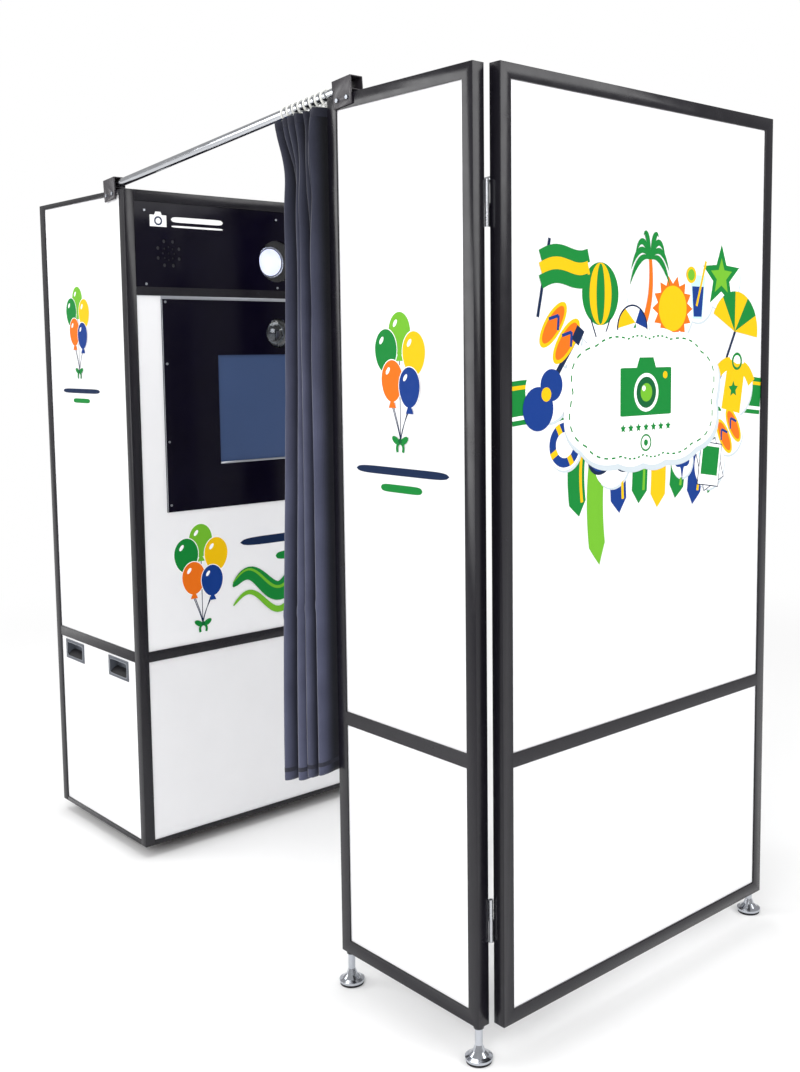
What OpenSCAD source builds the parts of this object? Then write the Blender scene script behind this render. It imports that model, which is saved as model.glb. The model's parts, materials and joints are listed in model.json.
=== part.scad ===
// Portable photo booth: an equipment cabinet on castors, a folding screen on
// levelling feet, and two curtain rods that tie the cabinet to the screen.
// +X runs from the cabinet to the back wall, -Y is the near doorway side, +Z is
// up, and the origin lies on the floor under the middle of the outer box.

/* [Overall] */
// Length over the frame tubes, cabinet back to back wall
frame_l = 1960; // [1800:10:2400]
// Depth over the frame tubes, near side to far side
frame_w = 1000; // [900:10:1300]
// Side of the square frame tube
tube = 30; // [25:1:40]
// Wall of the square frame tube
tube_wall = 2; // [1.5:0.5:3]

/* [Cabinet] */
// Depth of the cabinet along X
cab_d = 540; // [500:10:640]
// Height of the underside of the cabinet frame
cab_bottom = 35; // [30:1:60]
// Height of the top of the cabinet frame
cab_top = 1905; // [1850:5:2100]
// Height of the underside of the cabinet's middle rails
cab_mid = 575; // [500:5:700]
// Height of the low rails at the cabinet's foot and along its end tops
thin_rail = 14; // [12:1:20]
// Thickness of the flat infill panels
panel_t = 4; // [3:0.5:6]
// How far the panels lie behind the tubes' faces
panel_set = 4; // [2:0.5:8]
// Thickness of the floor board
board_t = 12; // [9:1:18]

/* [Screen] */
// Height of the underside of the screen frames
screen_bottom = 80; // [70:1:120]
// Height of the top of the screen frames
screen_top = 2000; // [1900:5:2300]
// Height of the underside of the screen's middle rails
screen_mid = 620; // [500:5:800]
// Length of a folding wing
wing_l = 455; // [350:5:480]
// Gap along X between a wing's end and the back wall
corner_gap_x = 4; // [3.5:0.5:8]
// Gap along Y between a wing and the back wall's edge
corner_gap_y = 10; // [9:0.5:14]

/* [Screen hinges] */
// Length of one lift-off hinge, both knuckles
hinge_l = 90; // [70:5:120]
// Diameter of the hinge barrel
barrel_d = 10; // [9:0.5:10]
// Diameter of the hinge pin
pin_d = 6; // [4:0.5:6.5]
// Distance of each hinge's middle from the nearer end of the frame
hinge_inset = 262; // [150:5:400]

/* [Levelling feet] */
// Diameter of the foot's rubber base
foot_d = 58; // [45:1:70]
// Diameter of the chromed sleeve
sleeve_d = 16; // [14:1:18]
// Diameter of the spindle that turns in the collar
spindle_d = 12; // [8:1:12]
// Diameter of the threaded collar under the post
collar_d = 22; // [20:1:24]
// Height of that collar
collar_h = 8; // [6:1:10]

/* [Rods and curtains] */
// Outside diameter of the curtain rod
rod_d = 22; // [18:1:24]
// Wall of the curtain rod's tube
rod_wall = 1.5; // [1:0.5:3]
// Length of a rod saddle
saddle_l = 64; // [50:1:80]
// Height of the saddle's outer plate
saddle_h = 60; // [50:1:70]
// Distance from the cabinet's front face to the middle of its saddle
saddle_cab_in = 76; // [60:1:140]
// Distance from the wing's free end to the middle of its saddle
saddle_wing_in = 56; // [45:1:120]
// Length along the rod of the drawn-back curtain
curtain_l = 170; // [140:5:260]
// Thickness of the drawn-back curtain
curtain_t = 84; // [60:2:120]
// Height of the curtain's lower edge
curtain_low = 480; // [100:10:700]
// Number of rings on each curtain
ring_n = 8; // [6:1:12]
// Bore of a curtain ring
ring_bore = 30; // [26:1:36]
// Thickness of the ring's wire
ring_wire = 5; // [4:0.5:6]

/* [Front of the cabinet] */
// Height of the black top fascia
fascia_h = 235; // [200:5:280]
// Height of the dark bar under the fascia
sill_h = 24; // [18:1:34]
// Height of the light trim strip over the instrument panel
trim_h = 9; // [6:1:14]
// Width of the instrument panel
inst_w = 790; // [600:10:840]
// Height of the instrument panel
inst_h = 607; // [560:5:700]
// Thickness of the instrument panel
inst_t = 3; // [2:0.5:5]
// Width of the visible screen
screen_w = 430; // [380:5:520]
// Height of the visible screen
screen_h = 320; // [240:5:340]
// Distance from the instrument panel's lower edge to the screen
screen_up = 128; // [80:2:160]
// Diameter of the camera dome
dome_d = 88; // [70:2:100]
// How far the dome stands out of the panel
dome_out = 27; // [15:1:35]
// Distance from the screen's top edge to the camera's axis
camera_up = 64; // [60:1:80]
// Diameter of the round flash window
flash_d = 124; // [90:2:140]
// Distance from the fascia's lower edge to the flash's axis
flash_up = 87; // [80:1:120]
// Diameter of the lamp behind the window
lamp_d = 85; // [60:1:88]
// Distance from the lamp's face to the fascia
lamp_back = 34; // [20:1:60]
// Distance from the cabinet's middle to each loudspeaker
speaker_y = 364; // [250:2:390]
// Distance from the fascia's lower edge to the loudspeakers' axes
speaker_up = 95; // [80:1:120]
// Diameter of a loudspeaker
speaker_d = 104; // [80:2:120]

/* [Equipment] */
// Thickness of the shelf plates
shelf_t = 12; // [8:1:18]
// Height of the upper shelf's top face
upper_shelf = 1436; // [1400:2:1440]
// Width, depth and height of the computer case
computer = [330, 180, 360];
// Width, depth and height of the photo printer
printer = [300, 280, 190];
// Width, depth and height of the power supply
supply = [220, 130, 62];
// Outside diameter of the paper roll
roll_d = 104; // [80:2:120]
// Side of the square fan
fan_w = 92; // [80:2:120]
// Height of the print outlet's middle
print_z = 745; // [720:5:760]
// Clear width of the print outlet
print_w = 160; // [120:5:200]
// Clear height of the print outlet
print_h = 46; // [36:1:60]

/* [Handles] */
// Width of a recessed lifting handle
grip_w = 122; // [100:2:140]
// Height of a recessed lifting handle
grip_h = 60; // [50:1:70]
// Depth of its dish
grip_d = 32; // [25:1:45]
// Distance from a cabinet corner to the handle's near edge
grip_in = 76; // [50:1:110]
// Distance from the middle rail to the handle's top edge
grip_drop = 7; // [4:1:20]

/* [Service door] */
// Gap round the door
door_gap = 3; // [2:0.5:5]
// Depth of the folded door tray
door_d = 18; // [15:1:25]
// Thickness of the door sheet
sheet_t = 1.5; // [1.2:0.1:2.5]

/* [Castors] */
// Diameter of a castor wheel
wheel_d = 36; // [30:1:36]
// Width of a castor wheel
wheel_w = 17; // [14:1:20]
// Distance from the swivel axis to the axle
trail = 14; // [10:1:18]
// Distance from the tubes' inner faces to the swivel axis
castor_in = 50; // [45:1:80]
// Diameter of the castor's axle
axle_d = 6; // [5:0.5:8]

/* [Fits] */
// Radial clearance of a turning fit
fit = 0.05; // [0.03:0.01:0.1]
// Clearance between parts that pass each other
pass = 0.3; // [0.2:0.1:0.5]

/* [Hidden] */
$fn = 48;

// Service door hinge, which stands out behind the cabinet
door_barrel_d = 10;
door_axis_out = 6;
rear_proj = door_axis_out + door_barrel_d / 2;

// Main planes
cab_x0 = (rear_proj - frame_l) / 2;
cab_x1 = cab_x0 + cab_d;
wall_x1 = (rear_proj + frame_l) / 2;
wall_x0 = wall_x1 - tube;
wing_x1 = wall_x0 - corner_gap_x;
wing_x0 = wing_x1 - wing_l;
side_y = frame_w / 2;
in_y = side_y - tube;
wall_y = in_y - corner_gap_y;
in_x0 = cab_x0 + tube;
in_x1 = cab_x1 - tube;
cab_mid_top = cab_mid + tube;
low_rail_top = cab_bottom + thin_rail;

// Panels and boards
face_x = cab_x1 - panel_set;
face_back = face_x - panel_t;
board_edge = tube - panel_set - panel_t - pass;
board_top = low_rail_top + board_t;
shelf_top = cab_mid_top + shelf_t;
fascia_z = cab_top - tube - fascia_h;
sill_z = fascia_z - sill_h;
inst_top = sill_z - trim_h;
inst_z = inst_top - inst_h;
inst_face = face_x + inst_t;
inst_lap = 15;

// Camera, flash and screen places
screen_z = inst_z + screen_up;
camera_z = screen_z + screen_h + camera_up;
flash_z = fascia_z + flash_up;
speaker_z = fascia_z + speaker_up;
flange_t = 3;
glass_t = 3;
case_t = 46;
case_rim = 12;
shell_t = 3;

// Hinges of the screen
pin_x = wall_x0 - corner_gap_x / 2;
pin_y = in_y - corner_gap_y / 2;
leaf_t = 3;
leaf_w = 33;
hinge_zs = [screen_bottom + hinge_inset - 42, screen_top - hinge_inset];

// Feet
foot_xs = [wing_x0 + tube / 2, wing_x1 - tube / 2];
foot_y = side_y - tube / 2;
pad_h = 6;
bell_h = 30;

// Rods: the saddles stand on the cabinet's end rail and on the wing's top rail
saddle_wall = 2;
plate_t = 3;
rod_y = side_y - tube / 2;
saddle_a = [cab_x1 - saddle_cab_in, cab_top];
saddle_b = [wing_x0 + saddle_wing_in, screen_top];
rod_run = saddle_b[0] - saddle_a[0];
slope = atan((saddle_b[1] - saddle_a[1]) / rod_run);
saddle_lift = pass + saddle_l / 2 * sin(slope);
rod_up = saddle_wall + rod_d / 2 + 0.1;
rod_end_in = 5;
rod_wing_in = 24;
span = rod_run / cos(slope);

// Curtains, in distances along the rod from the cabinet's saddle
curtain_gap = 9;
curtain_u1 = (wing_x0 - curtain_gap - saddle_a[0]) / cos(slope);
curtain_u0 = curtain_u1 - curtain_l;
ring_drop = ring_bore / 2 - rod_d / 2 - pass;
ring_r = (ring_bore + ring_wire) / 2;
ring_low = ring_drop + ring_r + ring_wire / 2;
ring_edge = 10;

// Castors
plate_w = 56;
castor_plate_t = 3;
race_h = 2.2;
crown_t = 3;
kingpin_d = 8;
castor_top = low_rail_top;
race_z = castor_top - castor_plate_t - race_h;
crown_z = race_z - pass - crown_t;
castor_xs = [in_x0 + castor_in, in_x1 - castor_in];
castor_y = in_y - castor_in;

// Service door
door_y = in_y - door_gap;
door_z0 = cab_mid_top + door_gap;
door_z1 = cab_top - tube - door_gap;
door_axis = [cab_x0 - door_axis_out, in_y - 1];
door_hinge_l = 80;
door_hinge_zs = [door_z0 + 110, (door_z0 + door_z1) / 2, door_z1 - 110];
door_leaf_t = 2;
door_leaf_w = 26;
lock_y = -(door_y - 28);
lock_z = (door_z0 + door_z1) / 2;
lock_d = 16;
lock_tongue = 46;
tongue_x = in_x0 + 2;

// Rear lower panel and what it carries
rear_face = cab_x0 + panel_set;
rear_in = rear_face + panel_t;
fan_c = [260, (low_rail_top + cab_mid) / 2];
fan_t = 25;
fan_hole = fan_w - 8;
inlet_c = [-330, low_rail_top + 110];
inlet_w = 48;
inlet_h = 28;
inlet_d = 30;

// Printer, with its slot facing the far end
printer_x = (cab_x0 + cab_x1) / 2 - 20;
printer_y1 = in_y - 48;
print_wall = 2;
chute_y0 = printer_y1;
chute_face = side_y - panel_set;
bezel_t = 2.5;
flap_t = 2;
flap_pin_d = 3;
flap_axis = [chute_face + bezel_t + 3.2, print_z + print_h / 2 - 2];
roll_l = 152;
roll_core = 24;
roll_spindle = 10;
roll_z = shelf_top + printer[2] + 8 + roll_d / 2;
roll_y = printer_y1 - printer[1] / 2 - 20;

// ---- helpers ----

// A block between two corners
module block(lo, hi) {
    translate(lo) cube(hi - lo);
}

// A closed sheet case between two corners
module shell(lo, hi) {
    t = [shell_t, shell_t, shell_t];
    difference() {
        block(lo, hi);
        block(lo + t, hi - t);
    }
}

// A square or flat tube between two corners, open along "x", "y" or "z",
// or closed at both ends with "closed"
module hollow(lo, hi, open) {
    w = tube_wall;
    e = 1;
    in_lo = [open == "x" ? -e : w, open == "y" ? -e : w, open == "z" ? -e : w];
    difference() {
        block(lo, hi);
        block(lo + in_lo, hi - in_lo);
    }
}

// A round bar along X, Y or Z from a start point
module bar_x(p, d, l) {
    translate(p) rotate([0, 90, 0]) cylinder(d = d, h = l);
}
module bar_y(p, d, l) {
    translate(p) rotate([-90, 0, 0]) cylinder(d = d, h = l);
}
module bar_z(p, d, l) {
    translate(p) cylinder(d = d, h = l);
}

// A copy of the near side's piece on the far side
module far() {
    mirror([0, 1, 0]) children();
}

// The near piece and its far copy
module both_sides() {
    children();
    far() children();
}

// A board with its corners notched round the four posts
module notched_board(x0, x1, z, t) {
    block([max(x0, in_x0 + pass), -(in_y + board_edge), z],
        [min(x1, in_x1 - pass), in_y + board_edge, z + t]);
    block([x0, -(in_y - pass), z], [x1, in_y - pass, z + t]);
}

// ---- cabinet frame ----

module cabinet_posts() {
    color("#1b1b1e") both_sides()
        for (x = [cab_x0, in_x1])
            hollow([x, -side_y, cab_bottom], [x + tube, -in_y, cab_top], "closed");
}

module side_rail(z, h) {
    hollow([in_x0, -side_y, z], [in_x1, -in_y, z + h], "x");
}

module cross_rail(x, z, h) {
    hollow([x, -in_y, z], [x + tube, in_y, z + h], "y");
}

// The upper shelf's bearers run along the ends, behind the end panels
module shelf_bearer() {
    z1 = upper_shelf - shelf_t;
    y = side_y - panel_set - panel_t - pass;
    hollow([in_x0, -y, z1 - 20], [in_x1, -in_y, z1], "x");
}

module cabinet_rails() {
    color("#1b1b1e") {
        both_sides() {
            side_rail(cab_top - thin_rail, thin_rail);
            side_rail(cab_mid, tube);
            side_rail(cab_bottom, thin_rail);
            shelf_bearer();
        }
        for (x = [cab_x0, in_x1]) {
            cross_rail(x, cab_top - tube, tube);
            cross_rail(x, cab_mid, tube);
            cross_rail(x, cab_bottom, thin_rail);
        }
    }
}

// ---- cabinet shell ----

module end_panel(z0, z1) {
    y = side_y - panel_set;
    block([in_x0, -y, z0], [in_x1, -y + panel_t, z1]);
}

// Middles of the two recessed handles on an end
function grip_xs() = [cab_x0 + grip_in + grip_w / 2 - 18, cab_x1 - grip_in - grip_w / 2];
grip_z = cab_mid - grip_drop - grip_h / 2;
grip_lip = 6;

module grip_cuts(extra) {
    w = grip_w / 2 - grip_lip + extra;
    h = grip_h / 2 - grip_lip + extra;
    for (x = grip_xs())
        block([x - w, -side_y, grip_z - h], [x + w, -side_y + grip_d, grip_z + h]);
}

module cabinet_end_panels() {
    color("white") {
        end_panel(cab_mid_top, cab_top - thin_rail);
        difference() {
            far() end_panel(cab_mid_top, cab_top - thin_rail);
            print_cut();
        }
        both_sides() difference() {
            end_panel(low_rail_top, cab_mid);
            grip_cuts(pass);
        }
    }
}

module print_cut() {
    w = print_w / 2 + print_wall + pass;
    h = print_h / 2 + print_wall + pass;
    block([printer_x - w, in_y, print_z - h], [printer_x + w, side_y, print_z + h]);
}

module cabinet_top_cover() {
    z = cab_top - 2;
    color("#1b1b1e") block([in_x0, -in_y, z - panel_t], [in_x1, in_y, z]);
}

module castor_plate(x, y) {
    z = castor_top - castor_plate_t;
    block([x - plate_w / 2, y - plate_w / 2, z], [x + plate_w / 2, y + plate_w / 2, castor_top]);
    bar_z([x, y, race_z], 26, race_h + 0.5);
    bar_z([x, y, crown_z - 1], kingpin_d, castor_top - crown_z);
    bar_z([x, y, crown_z - pass - 2], 13, 2);
}

module cabinet_base() {
    color("#3a2e26")
        notched_board(cab_x0 + tube - board_edge, cab_x1 - tube + board_edge, low_rail_top, board_t);
    color("silver")
        for (x = castor_xs, y = [-castor_y, castor_y])
            castor_plate(x, y);
}

// ---- castors, numbered rear near, rear far, front near, front far ----

function castor_at(i) = [castor_xs[i < 2 ? 0 : 1], i % 2 == 0 ? -castor_y : castor_y];

module castor_fork(i) {
    c = castor_at(i);
    leg_in = wheel_w / 2 + 1;
    leg_t = 2.5;
    color("silver") translate([c[0], c[1], 0]) {
        difference() {
            union() {
                bar_z([0, 0, crown_z], 30, crown_t);
                block([-trail - 7, -leg_in - leg_t, crown_z], [0, leg_in + leg_t, crown_z + crown_t]);
            }
            bar_z([0, 0, crown_z - 1], kingpin_d + 2 * fit, crown_t + 2);
        }
        for (y = [-leg_in - leg_t, leg_in])
            block([-trail - 7, y, wheel_d / 2], [-trail + 7, y + leg_t, crown_z + 1]);
        for (y = [-leg_in - leg_t, leg_in])
            bar_y([-trail, y, wheel_d / 2], 14, leg_t);
        bar_y([-trail, -leg_in - leg_t, wheel_d / 2], axle_d, 2 * (leg_in + leg_t));
    }
}

module castor_wheel(i) {
    c = castor_at(i);
    color("#55565c") translate([c[0] - trail, c[1], wheel_d / 2]) rotate([-90, 0, 0]) difference() {
        union() {
            cylinder(d = wheel_d, h = wheel_w - 3, center = true);
            cylinder(d = wheel_d - 4, h = wheel_w, center = true);
        }
        cylinder(d = axle_d + 2 * fit, h = wheel_w + 2, center = true);
    }
}

module caster_fork_1() { castor_fork(0); }
module caster_fork_2() { castor_fork(1); }
module caster_fork_3() { castor_fork(2); }
module caster_fork_4() { castor_fork(3); }
module caster_wheel_1() { castor_wheel(0); }
module caster_wheel_2() { castor_wheel(1); }
module caster_wheel_3() { castor_wheel(2); }
module caster_wheel_4() { castor_wheel(3); }

// ---- cabinet front ----

// Sound holes: one in the middle and two rings round it
module sound_holes(y) {
    cut_x = face_back - 1;
    hole_d = 7;
    translate([0, y, speaker_z]) {
        bar_x([cut_x, 0, 0], hole_d, panel_t + 2);
        for (i = [0:7])
            rotate([i * 45, 0, 0]) bar_x([cut_x, 18, 0], hole_d, panel_t + 2);
        for (i = [0:7])
            rotate([i * 45 + 22.5, 0, 0]) bar_x([cut_x, 36, 0], hole_d + 4, panel_t + 2);
    }
}

module top_fascia() {
    color("#14121d") difference() {
        block([face_back, -in_y, fascia_z], [face_x, in_y, cab_top - tube]);
        bar_x([face_back - 1, 0, flash_z], flash_d, panel_t + 2);
        sound_holes(-speaker_y);
        sound_holes(speaker_y);
    }
}

module fascia_bars() {
    color("#222226") block([face_back, -in_y, sill_z], [cab_x1, in_y, fascia_z]);
    color("silver") block([face_x, -inst_w / 2, inst_top], [cab_x1 + 1, inst_w / 2, sill_z]);
}

// The white panel has a large window behind the instrument panel
module graphic_panel() {
    w = inst_w / 2 - inst_lap;
    color("white") difference() {
        block([face_back, -in_y, cab_mid_top], [face_x, in_y, sill_z]);
        block([face_back - 1, -w, inst_z + inst_lap], [face_x + 1, w, inst_top - inst_lap]);
    }
}

module instrument_panel() {
    color("#0d0a18") difference() {
        block([face_x, -inst_w / 2, inst_z], [inst_face, inst_w / 2, inst_top]);
        block([face_x - 1, -screen_w / 2, screen_z], [inst_face + 1, screen_w / 2, screen_z + screen_h]);
        bar_x([face_x - 1, 0, camera_z], dome_d + 2 * pass, inst_t + 2);
    }
}

module lower_front_panel() {
    color("#ebebeb") block([face_back, -in_y, low_rail_top], [face_x, in_y, cab_mid]);
}

// A shallow glass dome with a flange behind the panel
module camera_dome() {
    r = (pow(dome_d / 2, 2) + pow(dome_out, 2)) / (2 * dome_out);
    base = inst_face;
    color([0.6, 0.65, 0.7, 0.5]) translate([0, 0, camera_z]) rotate([0, 90, 0])
        difference() {
            union() {
                translate([0, 0, face_x - flange_t]) cylinder(d = dome_d + 12, h = flange_t);
                translate([0, 0, face_x - 1]) cylinder(d = dome_d, h = inst_t + 1);
                intersection() {
                    translate([0, 0, base + dome_out - r]) sphere(r = r);
                    translate([0, 0, base]) cylinder(d = dome_d, h = dome_out + 1);
                }
            }
            intersection() {
                translate([0, 0, base + dome_out - r]) sphere(r = r - glass_t);
                translate([0, 0, base]) cylinder(d = dome_d - 2 * glass_t, h = dome_out + 1);
            }
            translate([0, 0, face_x - flange_t - 1])
                cylinder(d = dome_d - 2 * glass_t, h = flange_t + inst_t + 1.01);
        }
}

// ---- camera, flash and their mounts ----

camera_size = [74, 128, 92];
lens_d = 68;
lens_l = 74;
lens_gap = 16;
camera_x1 = face_x - lens_gap - lens_l;
riser_w = 90;
flash_l = 112;
lamp_x = face_x - lamp_back;
flash_body_d = lamp_d + 12;

module camera() {
    color("#1d1d20") {
        block([camera_x1 - camera_size[0], -camera_size[1] / 2, camera_z - camera_size[2] / 2],
            [camera_x1, camera_size[1] / 2, camera_z + camera_size[2] / 2]);
        block([camera_x1 - camera_size[0] + 10, -26, camera_z + camera_size[2] / 2 - 1],
            [camera_x1 - 8, 26, camera_z + camera_size[2] / 2 + 16]);
        difference() {
            union() {
                bar_x([camera_x1 - 1, 0, camera_z], lens_d, lens_l + 1);
                bar_x([camera_x1 + 22, 0, camera_z], lens_d + 6, 24);
            }
            bar_x([camera_x1 + lens_l - 12, 0, camera_z], lens_d - 14, 13);
        }
    }
}

// A channel-shaped riser that lifts the camera off the upper shelf
module camera_riser() {
    x0 = camera_x1 - camera_size[0];
    z1 = camera_z - camera_size[2] / 2;
    block([x0, -riser_w / 2, upper_shelf], [camera_x1, -riser_w / 2 + 3, z1]);
    block([x0, riser_w / 2 - 3, upper_shelf], [camera_x1, riser_w / 2, z1]);
    block([x0, -riser_w / 2, z1 - 3], [camera_x1, riser_w / 2, z1]);
}

// A goal-post stand over the camera that carries the flash head
module flash_stand() {
    x0 = lamp_x - flash_l + 24;
    x1 = lamp_x - 24;
    y = 92;
    z1 = flash_z - flash_body_d / 2;
    block([x0, -y, upper_shelf], [x1, -y + 4, z1]);
    block([x0, y - 4, upper_shelf], [x1, y, z1]);
    block([x0, -y, z1 - 4], [x1, y, z1]);
}

module equipment_mounts() {
    color("#2c2d31") {
        notched_board(in_x0 - 8, face_back - pass, cab_mid_top, shelf_t);
        notched_board(in_x0 - 8, face_x - case_t - 12, upper_shelf - shelf_t, shelf_t);
        camera_riser();
        flash_stand();
    }
}

module flash_window() {
    color([0.3, 0.3, 0.35, 0.4])
        bar_x([face_back - glass_t, 0, flash_z], flash_d + 12, glass_t);
}

module flash_head() {
    color("#26262a") difference() {
        bar_x([lamp_x - flash_l, 0, flash_z], flash_body_d, flash_l);
        bar_x([lamp_x - 6, 0, flash_z], lamp_d, 7);
    }
    color("white") bar_x([lamp_x - 6, 0, flash_z], lamp_d - 1, 4);
}

module speaker(y) {
    depth = 20;
    difference() {
        bar_x([face_back - 5, y, speaker_z], speaker_d, 5);
        bar_x([face_back - 3, y, speaker_z], speaker_d - 14, 4);
    }
    translate([face_back - 5 - depth, y, speaker_z]) rotate([0, 90, 0])
        cylinder(d1 = 60, d2 = speaker_d - 16, h = depth + 0.5);
    bar_x([face_back - 5 - depth - 18, y, speaker_z], 62, 18.5);
}

module speakers() {
    color("#2a2a2e") {
        speaker(-speaker_y);
        speaker(speaker_y);
    }
}

// ---- monitor ----

module monitor_case() {
    y = screen_w / 2 + case_rim;
    z0 = screen_z - case_rim;
    z1 = screen_z + screen_h + case_rim;
    wall = [shell_t, shell_t, shell_t];
    color("#1d1d20") difference() {
        block([face_x - case_t, -y, z0], [face_x, y, z1]);
        block([face_x - case_t, -y, z0] + wall, [face_x - 8, y, z1] - wall);
        block([face_x - 8, -screen_w / 2 - 3, screen_z - 3],
            [face_x + 1, screen_w / 2 + 3, screen_z + screen_h + 3]);
    }
}

module monitor_screen() {
    color("#34456b") block([face_x - 8, -screen_w / 2 - 3 + pass, screen_z - 3 + pass],
        [face_x - 1, screen_w / 2 + 3 - pass, screen_z + screen_h + 3 - pass]);
}

// ---- equipment on the lower shelf and the base ----

computer_x = cab_x0 + 110;
computer_y = -in_y + 70;

module computer_case() {
    x1 = computer_x + computer[0];
    z1 = shelf_top + computer[2];
    color("#2c2d31") difference() {
        shell([computer_x, computer_y, shelf_top], [x1, computer_y + computer[1], z1]);
        for (i = [0:6])
            block([computer_x - 1, computer_y + 30, shelf_top + 60 + i * 18],
                [computer_x + 1.5, computer_y + computer[1] - 30, shelf_top + 68 + i * 18]);
    }
}

module printer_cheek(x) {
    difference() {
        union() {
            block([x, roll_y - 20, shelf_top + printer[2] - 1], [x + 6, roll_y + 20, roll_z]);
            bar_x([x, roll_y, roll_z], 40, 6);
        }
        bar_x([x - 1, roll_y, roll_z], roll_spindle + 2 * fit, 8);
    }
}

// The slot that a finished print drops into, grown by a wall
module print_slot(wall, past) {
    w = print_w / 2 + wall;
    h = print_h / 2 - 8 + wall;
    block([printer_x - w, printer_y1 - 70 - wall, print_z - h],
        [printer_x + w, printer_y1 + past, print_z + h]);
}

module photo_printer() {
    x0 = printer_x - printer[0] / 2;
    y0 = printer_y1 - printer[1];
    color("#3a3b40") {
        difference() {
            union() {
                shell([x0, y0, shelf_top], [x0 + printer[0], printer_y1, shelf_top + printer[2]]);
                print_slot(shell_t, 0);
            }
            print_slot(0, 1);
        }
        printer_cheek(printer_x - roll_l / 2 - 8);
        printer_cheek(printer_x + roll_l / 2 + 2);
    }
}

module paper_roll() {
    color("white") difference() {
        bar_x([printer_x - roll_l / 2, roll_y, roll_z], roll_d, roll_l);
        for (x = [printer_x - roll_l / 2 - 1, printer_x + roll_l / 2 - 5])
            bar_x([x, roll_y, roll_z], roll_core, 6);
    }
    color("silver") bar_x([printer_x - roll_l / 2 - 8, roll_y, roll_z], roll_spindle, roll_l + 16);
}

// A duct from the printer to the far end panel, with a bezel and two lugs
module print_chute() {
    w = print_w / 2;
    h = print_h / 2;
    rim = 8;
    lug_x = w + 3;
    color("#1d1d20") difference() {
        union() {
            block([printer_x - w - print_wall, chute_y0, print_z - h - print_wall],
                [printer_x + w + print_wall, chute_face + bezel_t, print_z + h + print_wall]);
            block([printer_x - w - rim, chute_face, print_z - h - rim],
                [printer_x + w + rim, chute_face + bezel_t, print_z + h + rim]);
            for (s = [-1, 1])
                block([printer_x + s * lug_x - 2, chute_face + bezel_t - 0.5, flap_axis[1] - 3],
                    [printer_x + s * lug_x + 2, flap_axis[0] + 3, flap_axis[1] + 3]);
        }
        block([printer_x - w, chute_y0 - 1, print_z - h],
            [printer_x + w, chute_face + bezel_t + 1, print_z + h]);
        bar_x([printer_x - lug_x - 3, flap_axis[0], flap_axis[1]],
            flap_pin_d + 2 * fit, 2 * lug_x + 6);
    }
}

module print_flap() {
    w = print_w / 2 + 3 - 2 - pass;
    x0 = printer_x - w;
    low = print_h - 5;
    color("#26262a") {
        block([x0, flap_axis[0] - 1, flap_axis[1] - low], [x0 + 2 * w, flap_axis[0] - 1 + flap_t,
            flap_axis[1]]);
        bar_x([x0 - 4, flap_axis[0], flap_axis[1]], flap_pin_d, 2 * w + 8);
    }
}

module power_supply() {
    x0 = cab_x0 + 150;
    y0 = 60;
    color("silver") difference() {
        shell([x0, y0, board_top], [x0 + supply[0], y0 + supply[1], board_top + supply[2]]);
        for (i = [0:8])
            block([x0 + 25 + i * 20, y0 + 20, board_top + supply[2] - 1.5],
                [x0 + 33 + i * 20, y0 + supply[1] - 20, board_top + supply[2] + 1]);
    }
}

// ---- rear lower panel, fan, inlet and switch ----

module fan_housing() {
    r = fan_w / 2;
    x = rear_in;
    color("#1d1d20") translate([x, fan_c[0], fan_c[1]]) difference() {
        union() {
            difference() {
                block([0, -r, -r], [fan_t, r, r]);
                bar_x([-1, 0, 0], fan_hole, fan_t + 2);
            }
            bar_x([fan_t - 4, 0, 0], 38, 4);
            for (a = [45:90:315])
                rotate([a, 0, 0]) block([fan_t - 4, 15, -3], [fan_t, fan_hole / 2 + 1, 3]);
        }
        bar_x([fan_t - 5, 0, 0], 4 + 2 * fit, 6);
    }
}

module fan_rotor() {
    hub_d = 34;
    tip = fan_hole / 2 - 2;
    color("#2c2d31") translate([rear_in, fan_c[0], fan_c[1]]) {
        bar_x([3, 0, 0], hub_d, 17);
        bar_x([3, 0, 0], 4, fan_t - 3);
        intersection() {
            for (i = [0:6])
                rotate([i * 360 / 7, 0, 0]) translate([11, hub_d / 2 - 3, 0]) rotate([0, 38, 0])
                    translate([-9, 0, -1]) cube([18, tip, 2]);
            bar_x([3, 0, 0], 2 * tip, 17);
        }
    }
}

module rear_lower_panel() {
    color("white") difference() {
        block([rear_face, -in_y, low_rail_top], [rear_in, in_y, cab_mid]);
        bar_x([rear_face - 1, fan_c[0], fan_c[1]], fan_hole, panel_t + 2);
        block([rear_face - 1, inlet_c[0] - inlet_w / 2 - pass, inlet_c[1] - inlet_h / 2 - pass],
            [rear_in + 1, inlet_c[0] + inlet_w / 2 + pass, inlet_c[1] + inlet_h / 2 + pass]);
        for (i = [0:7])
            block([rear_face - 1, -90, cab_mid - 70 - i * 18], [rear_in + 1, 90, cab_mid - 63 - i * 18]);
    }
}

rocker_w = 12;
rocker_h = 20;
rocker_y = inlet_c[0] + inlet_w / 2 - rocker_w / 2 - 4;
rocker_x = rear_face - 1;

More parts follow.
